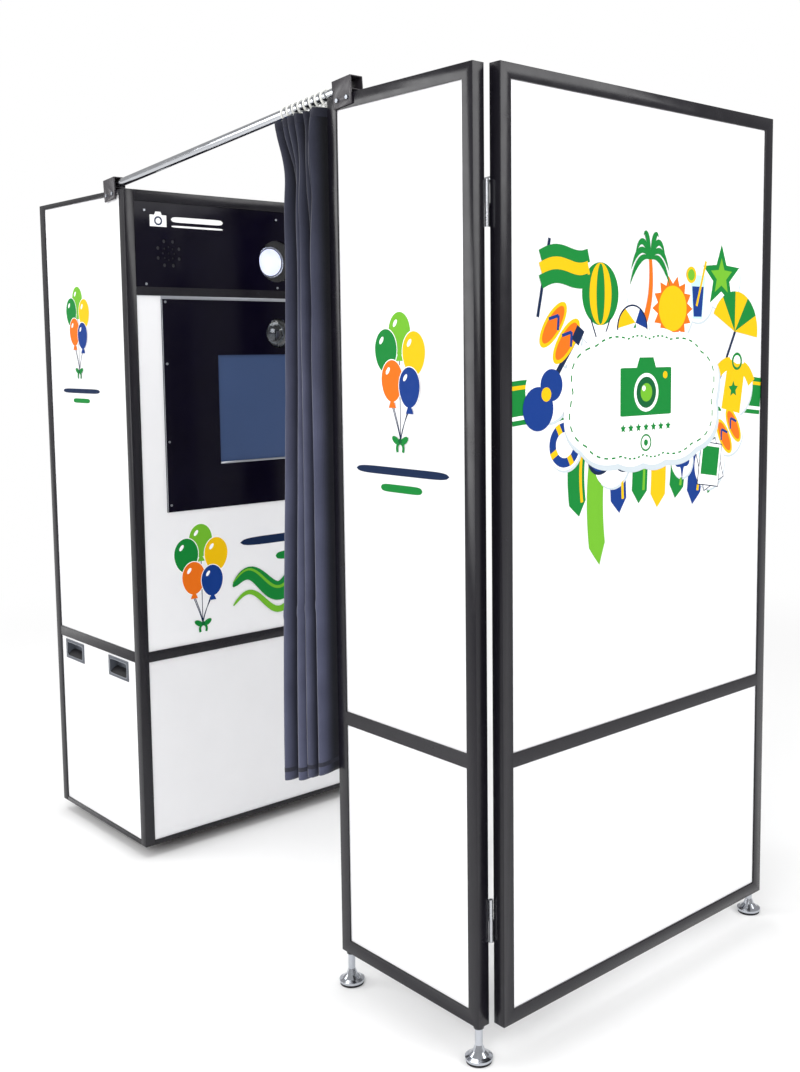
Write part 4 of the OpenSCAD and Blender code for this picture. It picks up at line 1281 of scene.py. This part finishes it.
    def prints(self, at: Spot) -> None:
        """Draws two tilted photo prints, each with a thin dark rim.

        Args:
            at: the icon's middle.
        """
        for k, (turn, tone) in enumerate(((0.35, Ink.SKY), (-0.15, Ink.GREEN))):
            first = 9 + 3 * k
            self.plate(at, (-0.03604, -0.0441), (0.03604, 0.0441), Ink.NAVY, first, turn)
            self.plate(at, (-0.034, -0.042), (0.034, 0.042), Ink.WHITE, first + 1, turn)
            self.plate(at, (-0.028, -0.022), (0.028, 0.036), tone, first + 2, turn)

    def heart(self, at: Spot, r: float = 0.022) -> None:
        """Draws a heart: radius = r·(1 − 0.8·sin + 0.9·sin·√|cos| / (sin + 1.4)).

        Args:
            at: the point the radius starts from.
            r: the radius at both sides.
        """
        wave = lambda a: r * (
            1 - 0.8 * np.sin(a) + 0.9 * np.sin(a) * np.sqrt(np.abs(np.cos(a))) / (np.sin(a) + 1.4)
        )
        self.blob(at, wave, Ink.BLUE, 9)

    def balloon(self, at: Spot) -> None:
        """Draws a striped hot-air balloon with its basket.

        Args:
            at: the icon's middle.
        """
        x, z = at
        for r, tone, layer, squash in (
            (0.040, Ink.GREEN, 9, 1.12), (0.024, Ink.YELLOW, 10, 1.85), (0.009, Ink.GREEN, 11, 4.8)
        ):
            self.disc((x, z + 0.016), r, tone, layer, squash)
        for dx in (-1, 1):
            self.line((x + dx * 0.022, z - 0.018), (x + dx * 0.007, z - 0.050), 0.0012, Ink.NAVY, 9)
        self.plate((x, z - 0.056), (-0.010, -0.008), (0.010, 0.008), Ink.ORANGE, 10, foot=0.8)

    def pennant(self, at: Spot) -> None:
        """Draws a striped, waving pennant on a stick.

        Args:
            at: the icon's middle.
        """
        x, z = at
        self.line((x - 0.052, z - 0.055), (x - 0.024, z + 0.070), 0.003, Ink.NAVY, 9)
        t = np.linspace(0, 1, 16)
        for k, tone in enumerate((Ink.GREEN, Ink.YELLOW, Ink.GREEN)):
            base = np.stack([x - 0.045 + 0.115 * t, z + 0.040 - 0.02 * k + 0.012 * t], -1)
            base[:, 1] += 0.007 * np.sin(t * 5.5)
            self.ribbon(base, 0.011, tone, 10 + k)

    def sun(self, at: Spot) -> None:
        """Draws a sun: a many-pointed star with a disc on it."""
        self.star(at, 0.058, 14, 0.25, Ink.ORANGE, 9, 0.0)
        self.disc(at, 0.040, Ink.YELLOW, 10)

    def stars(self, at: Spot) -> None:
        """Draws a star within a star."""
        self.star(at, 0.062, 5, 0.55, Ink.GREEN, 9)
        self.star(at, 0.036, 5, 0.55, Ink.LIME, 10)

    def buoy(self, at: Spot) -> None:
        """Draws a lifebelt: a broad ring with four bands.

        Args:
            at: the icon's middle.
        """
        self.rim(at, 0.028, 0.015, Ink.BLUE, 9)
        for a in np.arange(4) * np.pi / 2 + 0.5:
            way = np.array([math.cos(a), math.sin(a)])
            self.line(at + 0.020 * way, at + 0.036 * way, 0.005, Ink.YELLOW, 10)

    def draw(self) -> None:
        """Draws the whole print: ribbon, wreath of icons, then the badge.

        An icon is drawn about its own spot and then enlarged; where a backing
        radius is given, a white sticker edge and its grey shadow go under it.
        """
        self.band(1.345)
        right, left = lambda at: self.sandals(at, 0.6), lambda at: self.sandals(at, -0.7)
        icons = (
            (self.pennant, (-0.290, 1.590), 1.25, 0.0),
            (self.balloon, (-0.165, 1.548), 1.45, 0.060),
            (self.ball, (-0.060, 1.500), 1.30, 0.044),
            (self.palm, (0.000, 1.618), 1.05, 0.0),
            (self.sun, (0.080, 1.545), 1.25, 0.060),
            (self.drink, (0.172, 1.575), 1.15, 0.052),
            (self.stars, (0.262, 1.620), 1.20, 0.062),
            (self.parasol, (0.318, 1.495), 1.25, 0.0),
            (self.shirt, (0.318, 1.370), 1.25, 0.060),
            (right, (0.300, 1.262), 1.15, 0.050),
            (self.prints, (0.225, 1.188), 1.15, 0.050),
            (self.heart, (0.120, 1.205), 1.25, 0.032),
            (self.glasses, (-0.125, 1.222), 1.25, 0.048),
            (self.buoy, (-0.275, 1.262), 1.30, 0.040),
            (self.guitar, (-0.325, 1.375), 1.30, 0.050),
            (left, (-0.290, 1.490), 1.35, 0.050),
        )
        for picture, spot, size, back in icons:
            self.grow(spot, size)
            if back:
                self.disc((spot[0] + 0.003, spot[1] - 0.004), back, Ink.GREY, 3)
                self.disc(spot, back, Ink.WHITE, 4)
            picture(spot)
        self.grow((0.0, 0.0), 1.0)
        self.badge((-0.012, 1.352))


# ---- sub-assemblies ----


@dataclass
class Cabinet:
    """The equipment cabinet: frame, panels, door, handles and castors."""

    edge_mm: float = 1.4

    def shell(self) -> None:
        """Rounds the tubes' corners and dresses the flat panels."""
        for node in ("cabinet_posts", "cabinet_rails"):
            soften(FRAME_COAT, self.edge_mm, node)
        dress(WHITE_LAMINATE, "cabinet_end_panels", "graphic_panel", "rear_lower_panel")
        dress(GREY_LAMINATE, "lower_front_panel")
        dress(BLACK_ACRYLIC, "cabinet_top_cover")
        dress(FILM_PLY, "cabinet_base")
        dress(ZINC, "fascia_screws")
        dress(DOOR_WHITE, "rear_door")
        dress(CHROME, "door_lock")
        dress(STAINLESS, "hinge_pins")

    def handles(self) -> None:
        """Rounds the pressed dishes and adds each one's sloping finger ramp.

        The ramp is a ruled surface: its height rises by a quarter sine from the
        dish's mouth to its back, the same all the way across. A plated wire
        frames the mouth along a superellipse, (|cos/w|^10 + |sin/h|^10)^(−1/10).
        """
        soften(ENAMEL, 1.2, "lifting_handles")
        low, high, middle = corners("lifting_handles")
        wide, tall = 0.122, 0.060
        centre_z = middle[2]
        grids = []
        for face in (low[1], high[1]):
            inward = 1 if face < 0 else -1
            for x in (low[0] + wide / 2, high[0] - wide / 2):
                t = np.linspace(0, 1, 12)
                y = face + inward * (0.001 + 0.025 * t)
                z = centre_z - tall / 2 + 0.0082 + 0.016 * np.sin(t * np.pi / 2)
                line = np.stack([0 * t, y, z], -1)
                ends = np.array([x - wide / 2 + 0.0085, x + wide / 2 - 0.0085])
                grid = line[:, None] + ends[None, :, None] * np.array([1.0, 0, 0])
                grids.append((grid if inward < 0 else grid[:, ::-1], 0))
            for x in (low[0] + wide / 2, high[0] - wide / 2):
                a = np.linspace(0, 2 * np.pi, 97)
                w, h = wide / 2 - 0.0080, tall / 2 - 0.0080
                reach = ((np.abs(np.cos(a)) / w) ** 10 + (np.abs(np.sin(a)) / h) ** 10) ** -0.1
                loop = np.stack([x + reach * np.cos(a), np.full_like(a, face + inward * 0.0008),
                                 centre_z + reach * np.sin(a)], -1)
                grids.append((piped(loop, 0.0013, 8)[1:-1], 1))
        obj = surface("handle_ramps", grids,
                      [finish(ABS_BLACK), finish(ZINC)])
        keep(obj, "booth")

    def castors(self) -> None:
        """Dresses the forks and wheels and adds a hub cap to each wheel's faces.

        A hub cap is a turned profile: a flat rim, a step and a domed middle.
        """
        for i in range(1, 5):
            dress(ZINC, f"caster_fork_{i}")
            dress(TREAD, f"caster_wheel_{i}")
            low, high, mid = corners(f"caster_wheel_{i}")
            r = np.array([0.0036, 0.006, 0.007, 0.0115, 0.0120])
            rise = np.array([0.0004, 0.0004, 0.0001, 0.0001, -0.0004]) + (high[1] - low[1]) / 2
            grids = [
                (turned(np.stack([side * rise, r], -1), mid, "y", 32), 0) for side in (-1, 1)
            ]
            obj = surface(f"hub_caps_{i}", grids, [finish(ABS_BLACK)])
            keep(obj, f"caster_wheel_{i}")

    def art(self) -> None:
        """Lays the emblem and caption bars on both ends and the front."""
        low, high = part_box("cabinet_end_panels")
        for side, way, face in (("near", -1, low[1]), ("far", 1, high[1])):
            sheet = Sheet((0, face, 0), (-way, 0, 0), (0, way, 0))
            balloon_bunch(sheet, (way * 0.750, 1.390), 0.265)
            caption_bars(sheet, (way * 0.745, 1.345), 0.24)
            sheet.build("cabinet_end_print_" + side, "booth")
        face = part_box("graphic_panel")[1][0]
        front = Sheet((face, 0, 0), (0, 1, 0), (1, 0, 0))
        balloon_bunch(front, (-0.290, 0.645), 0.315)
        self.greeting(front)
        front.build("front_print", "booth")

    def greeting(self, sheet: Sheet) -> None:
        """Draws a swelling green wave and a caption beside the front emblem.

        The wave is 34 mm high and runs two and a half turns; its bands widen and
        narrow again as the root of a half sine.

        Args:
            sheet: the graphic panel's face.
        """
        t = np.linspace(0, 1, 60)
        path = np.stack([-0.185 + 0.55 * t, 0.755 + 0.034 * np.sin(2 * np.pi * t * 2.5)], -1)
        swell = np.maximum(np.sin(np.pi * t), 0.0) ** 0.5
        sheet.ribbon(path, 0.003 + 0.030 * swell, Ink.GREEN, 24)
        sheet.ribbon(path + [0, -0.058], 0.002 + 0.009 * swell, Ink.LIME, 25)
        sheet.ribbon(path + [0, 0.012], 0.001 + 0.004 * swell, Ink.LIME, 26)
        caption_bars(sheet, (0.075, 0.885), 0.46)

    def build(self) -> None:
        """Builds the cabinet in order."""
        self.shell()
        self.handles()
        self.castors()
        self.art()


@dataclass
class Cockpit:
    """The cabinet's front: fascia, flash, speakers, camera dome and screen."""

    lamp_r: float = 0.0405
    lens_r: float = 0.0255
    bend_r: float = 0.05

    def fascia(self) -> None:
        """Dresses the fascia, its bars and the instrument panel.

        A flat black strip covers the front of the upper bar, which is coated,
        and leaves the lower one bare.
        """
        dress(BLACK_ACRYLIC, "top_fascia", "instrument_panel")
        soften(ANODISED, 0.8, "fascia_bars")
        low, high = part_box("fascia_bars")
        bare, recess, paint = 0.009, 0.001, 0.0001
        skin = high[0] - recess + paint
        z = np.linspace(low[2] + bare, high[2], 3)
        y = np.linspace(low[1], high[1], 9)
        grid = np.stack(np.broadcast_arrays(skin, y[None, :], z[:, None]), -1)
        obj = surface("sill_face", [(grid, 0)], [finish(FRAME_COAT)])
        keep(obj, "booth")
        self.sign()

    def sign(self) -> None:
        """Prints a small white camera and two plain bars at the fascia's near end."""
        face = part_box("top_fascia")[1][0]
        sheet = Sheet((face, 0, 0), (0, 1, 0), (1, 0, 0))
        y, z = -0.395, 1.826
        case = [(-0.026, -0.018), (0.026, -0.018), (0.026, 0.014), (-0.026, 0.014)]
        hump = [(-0.012, 0.0), (0.012, 0.0), (0.008, 0.009), (-0.008, 0.009)]
        sheet.polygon((y, z), case, Ink.WHITE, 1)
        sheet.polygon((y, z + 0.014), hump, Ink.WHITE, 1)
        sheet.disc((y, z - 0.002), 0.0125, Ink.NAVY, 2)
        sheet.disc((y, z - 0.002), 0.0080, Ink.WHITE, 3)
        for rise, half in ((0.004, 0.0075), (-0.015, 0.0026)):
            sheet.bar((-0.270, z + rise), 0.085, half, Ink.WHITE, 1, 12)
        sheet.build("fascia_print", "booth")

    def edging(self) -> None:
        """Adds the panel's pale side edgings and the screen's bright lower strip.

        Each is a half-round bar: a semicircle carried along a straight line.
        """
        low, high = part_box("instrument_panel")
        s_low, s_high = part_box("monitor_screen")
        pale = finish(ANODISED)
        grids = []
        for y in (low[1] + 0.0015, high[1] - 0.0015):
            z = np.linspace(low[2], high[2], 8)
            path = np.stack(np.broadcast_arrays(high[0] - 0.0003, y, z), -1)
            grids.append((piped(path, 0.0014, 12), 0))
        z = s_low[2] + 0.006
        y = np.linspace(s_low[1] + 0.003, s_high[1] - 0.003, 8)
        path = np.stack(np.broadcast_arrays(high[0] - 0.0012, y, z), -1)
        grids.append((piped(path, 0.0032, 16), 0))
        obj = surface("panel_edgings", grids, [pale], closed=True)
        keep(obj, "booth")

    def flash(self) -> None:
        """Dresses the flash and adds its ridged lens and bright collar.

        The lens is a turned profile whose depth is a shallow dome plus a saw
        of eight ridges; the collar is a turned half-round.
        """
        dress(SMOKED, "flash_window")
        dress(ABS_BLACK, "flash_head")
        high, mid = corners("flash_head")[1:]
        at = np.array([high[0] - 0.0019, mid[1], mid[2]])
        t = np.linspace(0, 1, 97)
        depth = 0.0016 * (1 - t**2) + 0.0007 * ((t * 8) % 1)
        lens = turned(np.stack([depth, self.lamp_r * t], -1), at, "x", 72)
        a = np.linspace(0, np.pi, 12)
        collar = turned(
            np.stack([0.0022 + 0.002 * np.sin(a), self.lamp_r + 0.0052 + 0.003 * np.cos(a)], -1),
            at, "x", 72,
        )
        obj = surface(
            "flash_lens", [(lens, 0), (collar, 1)],
            [finish(PEARL), finish(CHROME)],
        )
        keep(obj, "booth")

    def eye(self) -> None:
        """Dresses the dome and camera and adds the lens's glass and rings.

        The front glass is a spherical cap, x = √(R² − r²) − √(R² − a²), and the
        rings are turned half-rounds down the barrel.
        """
        dress(CLEAR_DOME, "camera_dome")
        soften(ABS_BLACK, 1.5, "camera")
        front = corners("camera")[1][0]
        axis = corners("camera_dome")[2]
        r = np.linspace(0, self.lens_r, 24)
        cap = np.sqrt(self.bend_r**2 - r**2) - math.sqrt(self.bend_r**2 - self.lens_r**2)
        at = np.array([front - 0.0105, axis[1], axis[2]])
        glass = turned(np.stack([cap, r], -1), at, "x", 64)
        grids = [(glass, 0)]
        a = np.linspace(0, 2 * np.pi, 13)
        for x, ring_r, slot in ((front - 0.001, 0.0300, 1), (front - 0.018, 0.0345, 2),
                                (front - 0.050, 0.0345, 2)):
            spot = np.array([x, axis[1], axis[2]])
            shape = np.stack([0.0012 * np.cos(a), ring_r + 0.0012 * np.sin(a)], -1)
            grids.append((turned(shape, spot, "x", 64), slot))
        obj = surface(
            "camera_lens", grids,
            [finish(LENS_GLASS), finish(CHROME),
             finish(ANODISED)],
        )
        keep(obj, "booth")

    def sound(self) -> None:
        """Dresses the speakers and stretches a cloth behind each grille.

        The cloth is a disc whose middle is drawn back by 0.6 mm: x = −0.6·(1 − r²).
        """
        dress(CASE_COAT, "speakers")
        low, high, middle = corners("speakers")
        half_wide = 0.052
        t = np.linspace(0, 1, 12)
        grids = []
        for y in (low[1] + half_wide, high[1] - half_wide):
            at = np.array([high[0] - 0.0012, y, middle[2]])
            grids.append((turned(np.stack([-0.0006 * (1 - t**2), 0.0435 * t], -1), at, "x", 48), 0))
        obj = surface("speaker_cloths", grids, [finish(TREAD)])
        keep(obj, "booth")

    def build(self) -> None:
        """Builds the front in order."""
        self.fascia()
        self.edging()
        self.flash()
        self.eye()
        self.sound()
        soften(ABS_BLACK, 2.0, "monitor_case")
        # The screen's blue-grey colour holds a painted reflection.
        dress(DISPLAY, "monitor_screen")


@dataclass
class Equipment:
    """What stands on the shelves behind the door."""

    def build(self) -> None:
        """Dresses the machines and rounds their cases."""
        for node in ("computer_case", "photo_printer"):
            soften(CASE_COAT, 2.0, node)
        soften(ZINC, 0.8, "power_supply")
        dress(WoundPaper(), "paper_roll")
        dress(ABS_BLACK, "print_chute", "print_flap", "fan_housing", "fan_rotor", "mains_inlet")
        dress(ROCKER, "power_switch")
        dress(FILM_PLY, "equipment_mounts")


@dataclass
class Screen:
    """The folding screen: back wall, two wings, hinges and levelling feet."""

    edge_mm: float = 1.4

    def build(self) -> None:
        """Rounds the tubes, dresses panels, hinges and feet, and lays the prints."""
        for node in ("back_wall_frame", "near_wing_frame", "far_wing_frame"):
            soften(FRAME_COAT, self.edge_mm, node)
        dress(WHITE_LAMINATE, "back_wall_panels", "near_wing_panels", "far_wing_panels")
        for side in ("near", "far"):
            dress(STAINLESS, side + "_wing_knuckles")
            dress(FOOT, side + "_free_foot", side + "_corner_foot")
        self.wall_print()
        self.wing_print("near", -1)
        self.wing_print("far", 1)

    def wall_print(self) -> None:
        """Lays the wreath of icons on the back wall's upper panel."""
        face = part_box("back_wall_panels")[1][0]
        sheet = WallArt((face, 0, 0), (0, 1, 0), (1, 0, 0))
        sheet.draw()
        sheet.build("wall_print", "booth")

    def wing_print(self, side: str, way: int) -> None:
        """Lays the emblem and its caption on a wing's upper panel.

        Args:
            side: "near" or "far".
            way: −1 for the near wing, 1 for the far one: where its outside is.
        """
        low, high, mid = corners(side + "_wing_panels")
        face = low[1] if way < 0 else high[1]
        sheet = Sheet((mid[0], face, 0), (-way, 0, 0), (0, way, 0))
        balloon_bunch(sheet, (0.0, 1.255), 0.285)
        caption_bars(sheet, (0.0, 1.205), 0.30)
        sheet.build(side + "_wing_print", side + "_wing")


@dataclass
class Curtain:
    """One drawn-back curtain: pleated cloth under its rings.

    The cloth keeps one width at every height. In plan a row runs
    x = −L·(1 − s) + bulge·sin 2φ and y = a·f(s)·cos φ, where φ counts the pleats
    and drifts down the cloth, and a is solved row by row so that the row's
    length is the cloth's flat width. The shares are the pleats' parts of that
    width, from the leading edge back to the wing.
    """

    side: str
    way: int
    shares: tuple[float, ...] = (1.6, 0.75, 1.15, 0.65, 1.0, 0.7, 0.9)
    width: float = 1.15
    rows: int = 150
    per_pleat: int = 24
    thick: float = 0.0012
    top_span: float = 0.159
    seed: int = 7

    def plan(self, s: np.ndarray, v: np.ndarray, amount: np.ndarray) -> np.ndarray:
        """Works out every row's plan curve for given pleat depths.

        Args:
            s: position across the cloth, 0 to 1.
            v: position down the cloth, 0 to 1, one row each.
            amount: pleat depth of each row.

        Returns:
            Rows by columns by (x, y), with x measured back from the rear edge.
        """
        step = lambda t: t**2 * (3 - 2 * t)
        count = len(self.shares)
        edges = np.concatenate([[0.0], np.cumsum(self.shares)]) / sum(self.shares)
        turn = 2 * np.pi * np.interp(s, edges, np.arange(count + 1))[None, :]
        down, across = v[:, None], s[None, :]
        loose = np.clip(down * 3, 0, 1) ** 0.7
        drift = 0.65 * np.sin(2 * np.pi * (1.3 * across + 0.35 * down) + self.seed * 0.7)
        angle = turn + drift * loose + 0.25
        tall = 1 + 0.50 * loose * np.sin(2 * np.pi * (2.2 * across + 0.10 * down) + self.seed)
        # The bunch draws in below the rings and spreads again towards the hem.
        narrow, flare = np.clip(down / 0.10, 0, 1), np.clip((down - 0.22) / 0.78, 0, 1)
        span = self.top_span - 0.037 * step(narrow) + 0.050 * step(flare)
        bulge = 0.34 * span / count * np.sin(2 * angle) * (0.3 + 0.7 * loose)
        ruck = 0.0085 * np.sin(2 * np.pi * (6.5 * across - 6 * down)) * np.exp(-down * 9)
        crease = -0.0022 * np.exp(-(((down - 0.735) / 0.006) ** 2))
        x = -span * (1 - across) + bulge * np.sin(np.pi * across) ** 0.3
        y = amount[:, None] * tall * np.cos(angle) + ruck + crease
        return np.stack([x, y], -1)

    def cloth(self) -> bpy.types.Object:
        """Returns:
            The cloth.
        """
        low, high, mid = corners(self.side + "_curtain")
        s = np.linspace(0, 1, len(self.shares) * self.per_pleat + 1)
        v = np.linspace(0, 1, self.rows)
        small, big = np.zeros(self.rows), np.full(self.rows, 0.09)
        for _ in range(26):
            guess = (small + big) / 2
            row = self.plan(s, v, guess)
            length = np.linalg.norm(np.diff(row, axis=1), axis=2).sum(1)
            small = np.where(length < self.width, guess, small)
            big = np.where(length < self.width, big, guess)
        flat = self.plan(s, v, (small + big) / 2)
        flat[..., 1] *= -self.way
        slope = math.tan(math.asin(abs(self.rod_axis()[2])))
        x = flat[..., 0] + high[0] - 0.004
        top = high[2] + (x - high[0]) * slope - 0.0012
        fold = flat[..., 1] / 0.05 * self.way
        hem = low[2] - 0.034 + 0.060 * s[None, :] ** 1.3 - 0.004 * fold
        z = (top - 0.003 * fold**2) * (1 - v[:, None]) + hem * v[:, None]
        points = np.stack([x, flat[..., 1] + mid[1], z], -1)
        drop = float(np.mean(z[0] - z[-1]))
        uv = np.stack(np.broadcast_arrays(s[None, :] * self.width, 1 - v[:, None] * drop), -1)
        cloth = finish(Cloth(hang_at=abs(float(mid[1]))))
        obj = surface(self.side + "_curtain_cloth", [(points, 0)], [cloth], uv=uv)
        wall = obj.modifiers.new("cloth_thickness", "SOLIDIFY")
        wall.thickness = self.thick
        wall.offset = 0.0
        keep(obj, self.side + "_curtain")
        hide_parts(self.side + "_curtain")
        self.seam(points, v)
        return obj

    def rod_axis(self) -> list[float]:
        """Finds the rod's direction from the curtain's own slide.

        Returns:
            A unit vector along the rod.
        """
        for joint in frame["joints"]:
            if joint["name"] == self.side + "_curtain_slide":
                return joint["axis"]
        return [1.0, 0.0, 0.0]

    def seam(self, points: np.ndarray, v: np.ndarray) -> None:
        """Adds the header tape and hem stitching as narrow bands on the cloth.

        Each band is the cloth's own rows shifted 0.9 mm along the row's normal.

        Args:
            points: the cloth's grid.
            v: position down the cloth, one number per row.
        """
        ahead = np.gradient(points, axis=1)
        normal = np.stack([-ahead[..., 1], ahead[..., 0], 0 * ahead[..., 0]], -1)
        normal /= np.maximum(np.linalg.norm(normal, axis=-1, keepdims=True), 1e-9)
        grids = []
        for rows in (slice(0, 3), slice(len(v) - 4, len(v) - 2)):
            for way in (-1, 1):
                grids.append((points[rows] + way * 0.0009 * normal[rows], 0))
        # The tapes' dark colour is painted shade.
        obj = surface(self.side + "_curtain_tapes", grids, [finish(TAPE)])
        keep(obj, self.side + "_curtain")

    def clips(self) -> None:
        """Dresses the rings and adds the glider hook under each.

        A hook is a round wire carried along a Bezier curve from the ring's foot
        down to the header tape.
        """
        dress(RING_WHITE, self.side + "_curtain_rings")
        low, high, mid = corners(self.side + "_curtain_rings")
        axis = self.rod_axis()
        slope = abs(axis[2] / axis[0])
        count, inset = 8, 0.0046
        xs = np.linspace(low[0] + inset, high[0] - inset, count)
        grids = []
        for x in xs:
            foot = low[2] + 0.0012 + (x - low[0] - inset) * slope
            bend = curve([(0, 0.0), (0.006, -0.006), (-0.006, -0.012), (0.0, -0.020)], 14)
            path = np.stack([x + 0 * bend[:, 0], mid[1] + bend[:, 0], foot + bend[:, 1]], -1)
            grids.append((piped(path, 0.0016, 10), 0))
        made = finish(RING_WHITE)
        obj = surface(self.side + "_curtain_hooks", grids, [made], closed=True)
        keep(obj, self.side + "_curtain")

    def build(self) -> None:
        """Builds the cloth, then the rings' hooks."""
        self.cloth()
        self.clips()


@dataclass
class Rods:
    """The two sloping rods and their saddles."""

    def build(self) -> None:
        """Dresses the rods and rounds the saddles."""
        dress(CHROME, "curtain_rods")
        soften(SADDLE_COAT, 0.8, "rod_saddles")


@dataclass
class Studio:
    """Floor, lights and camera."""

    spot: tuple[float, float, float] = (2.6425, -2.1084, 1.4597)
    yaw: float = 47.6846
    pitch: float = 5.7275
    roll: float = -0.5001
    focal: float = 1207.07
    centre: tuple[float, float] = (448.67, 470.09)
    frame_px: tuple[int, int] = (800, 1072)

    def camera(self) -> None:
        """Places the camera.

        Its forward direction is (−sin yaw·cos pitch, cos yaw·cos pitch, −sin
        pitch), and the roll turns right and up about it.
        """
        yaw, pitch, roll = (math.radians(a) for a in (self.yaw, self.pitch, self.roll))
        ahead = np.array([-math.sin(yaw) * math.cos(pitch), math.cos(yaw) * math.cos(pitch),
                          -math.sin(pitch)])
        right = np.array([math.cos(yaw), math.sin(yaw), 0.0])
        up = np.cross(right, ahead)
        c, s = math.cos(roll), math.sin(roll)
        right, up = c * right + s * up, -s * right + c * up
        data = bpy.data.cameras.new("camera")
        data.sensor_fit = "VERTICAL"
        data.sensor_height = 36.0
        data.lens = self.focal * 36.0 / self.frame_px[1]
        data.shift_x = (self.frame_px[0] / 2 - self.centre[0]) / self.frame_px[1]
        data.shift_y = (self.centre[1] - self.frame_px[1] / 2) / self.frame_px[1]
        data.clip_start, data.clip_end = 0.05, 60.0
        obj = bpy.data.objects.new("camera", data)
        rows = [[right[i], up[i], -ahead[i], self.spot[i]] for i in range(3)]
        obj.matrix_world = Matrix(rows + [[0, 0, 0, 1]])
        bpy.context.scene.collection.objects.link(obj)
        bpy.context.scene.camera = obj

    def floor(self) -> None:
        """Lays a plain pale floor: a flat disc, drawn as a turned straight profile."""
        reach = np.linspace(0, 14, 6)
        grid = turned(np.stack([0 * reach - 0.0002, reach], -1), np.zeros(3), "z", 64)
        obj = surface("floor", [(grid[:, ::-1], 0)], [finish(PaleFloor())])

    def lamp(self, name: str, at: tuple[float, float, float], aim: tuple[float, float, float],
             size: float, watts: float) -> None:
        """Adds one soft square light aimed at a point.

        Args:
            name: the light's name.
            at: where it hangs.
            aim: the point it faces.
            size: the square's side in metres.
            watts: its power.
        """
        data = bpy.data.lights.new(name, "AREA")
        data.energy, data.size = watts, size
        obj = bpy.data.objects.new(name, data)
        back = np.array(at, float) - np.array(aim, float)
        back /= np.linalg.norm(back)
        side = np.cross([0, 0, 1.0], back)
        side /= np.linalg.norm(side)
        up = np.cross(back, side)
        rows = [[side[i], up[i], back[i], at[i]] for i in range(3)]
        obj.matrix_world = Matrix(rows + [[0, 0, 0, 1]])
        bpy.context.scene.collection.objects.link(obj)

    def sky(self) -> None:
        """Sets an even white surround, dimmer in what it lights than in what is seen."""
        world = bpy.data.worlds.new("surround")
        world.use_nodes = True
        tree = world.node_tree
        tree.nodes.clear()
        ray = add(tree, "LightPath", {}, {})
        seen = add(
            tree, "Math", {"operation": "MULTIPLY_ADD", 1: 0.38, 2: 0.62},
            {0: ray.outputs["Is Camera Ray"]},
        )
        power = add(
            tree, "Math", {"operation": "MULTIPLY_ADD", 1: -0.16},
            {0: ray.outputs["Is Glossy Ray"], 2: seen.outputs[0]},
        )
        glow = add(tree, "Background", {"Color": (1, 1, 1, 1)}, {"Strength": power.outputs[0]})
        add(tree, "OutputWorld", {}, {"Surface": glow.outputs["Background"]})
        bpy.context.scene.world = world
        bpy.context.scene.view_settings.view_transform = "Standard"

    def build(self) -> None:
        """Builds the studio in order."""
        self.camera()
        self.floor()
        self.sky()
        self.lamp("key", (3.6, -4.4, 3.6), (0.2, 0, 1.1), 3.0, 125)
        self.lamp("side", (4.8, 1.6, 3.0), (0.9, 0, 1.1), 2.6, 92)
        self.lamp("top", (-0.2, -0.6, 5.2), (0.0, 0, 1.0), 3.4, 110)
        self.lamp("left", (-3.4, -4.2, 2.6), (-0.7, -0.4, 1.1), 2.6, 90)


def main() -> None:
    """Builds every sub-assembly and reports each piece."""
    logging.basicConfig(level=logging.INFO, format="%(name)s: %(message)s")
    parts = [
        Studio(), Cabinet(), Cockpit(), Equipment(), Screen(), Rods(),
        Curtain("near", -1), Curtain("far", 1, seed=3),
    ]
    for part in parts:
        part.build()
        LOG.info("built %s", type(part).__name__)


if __name__ == "__main__":
    main()
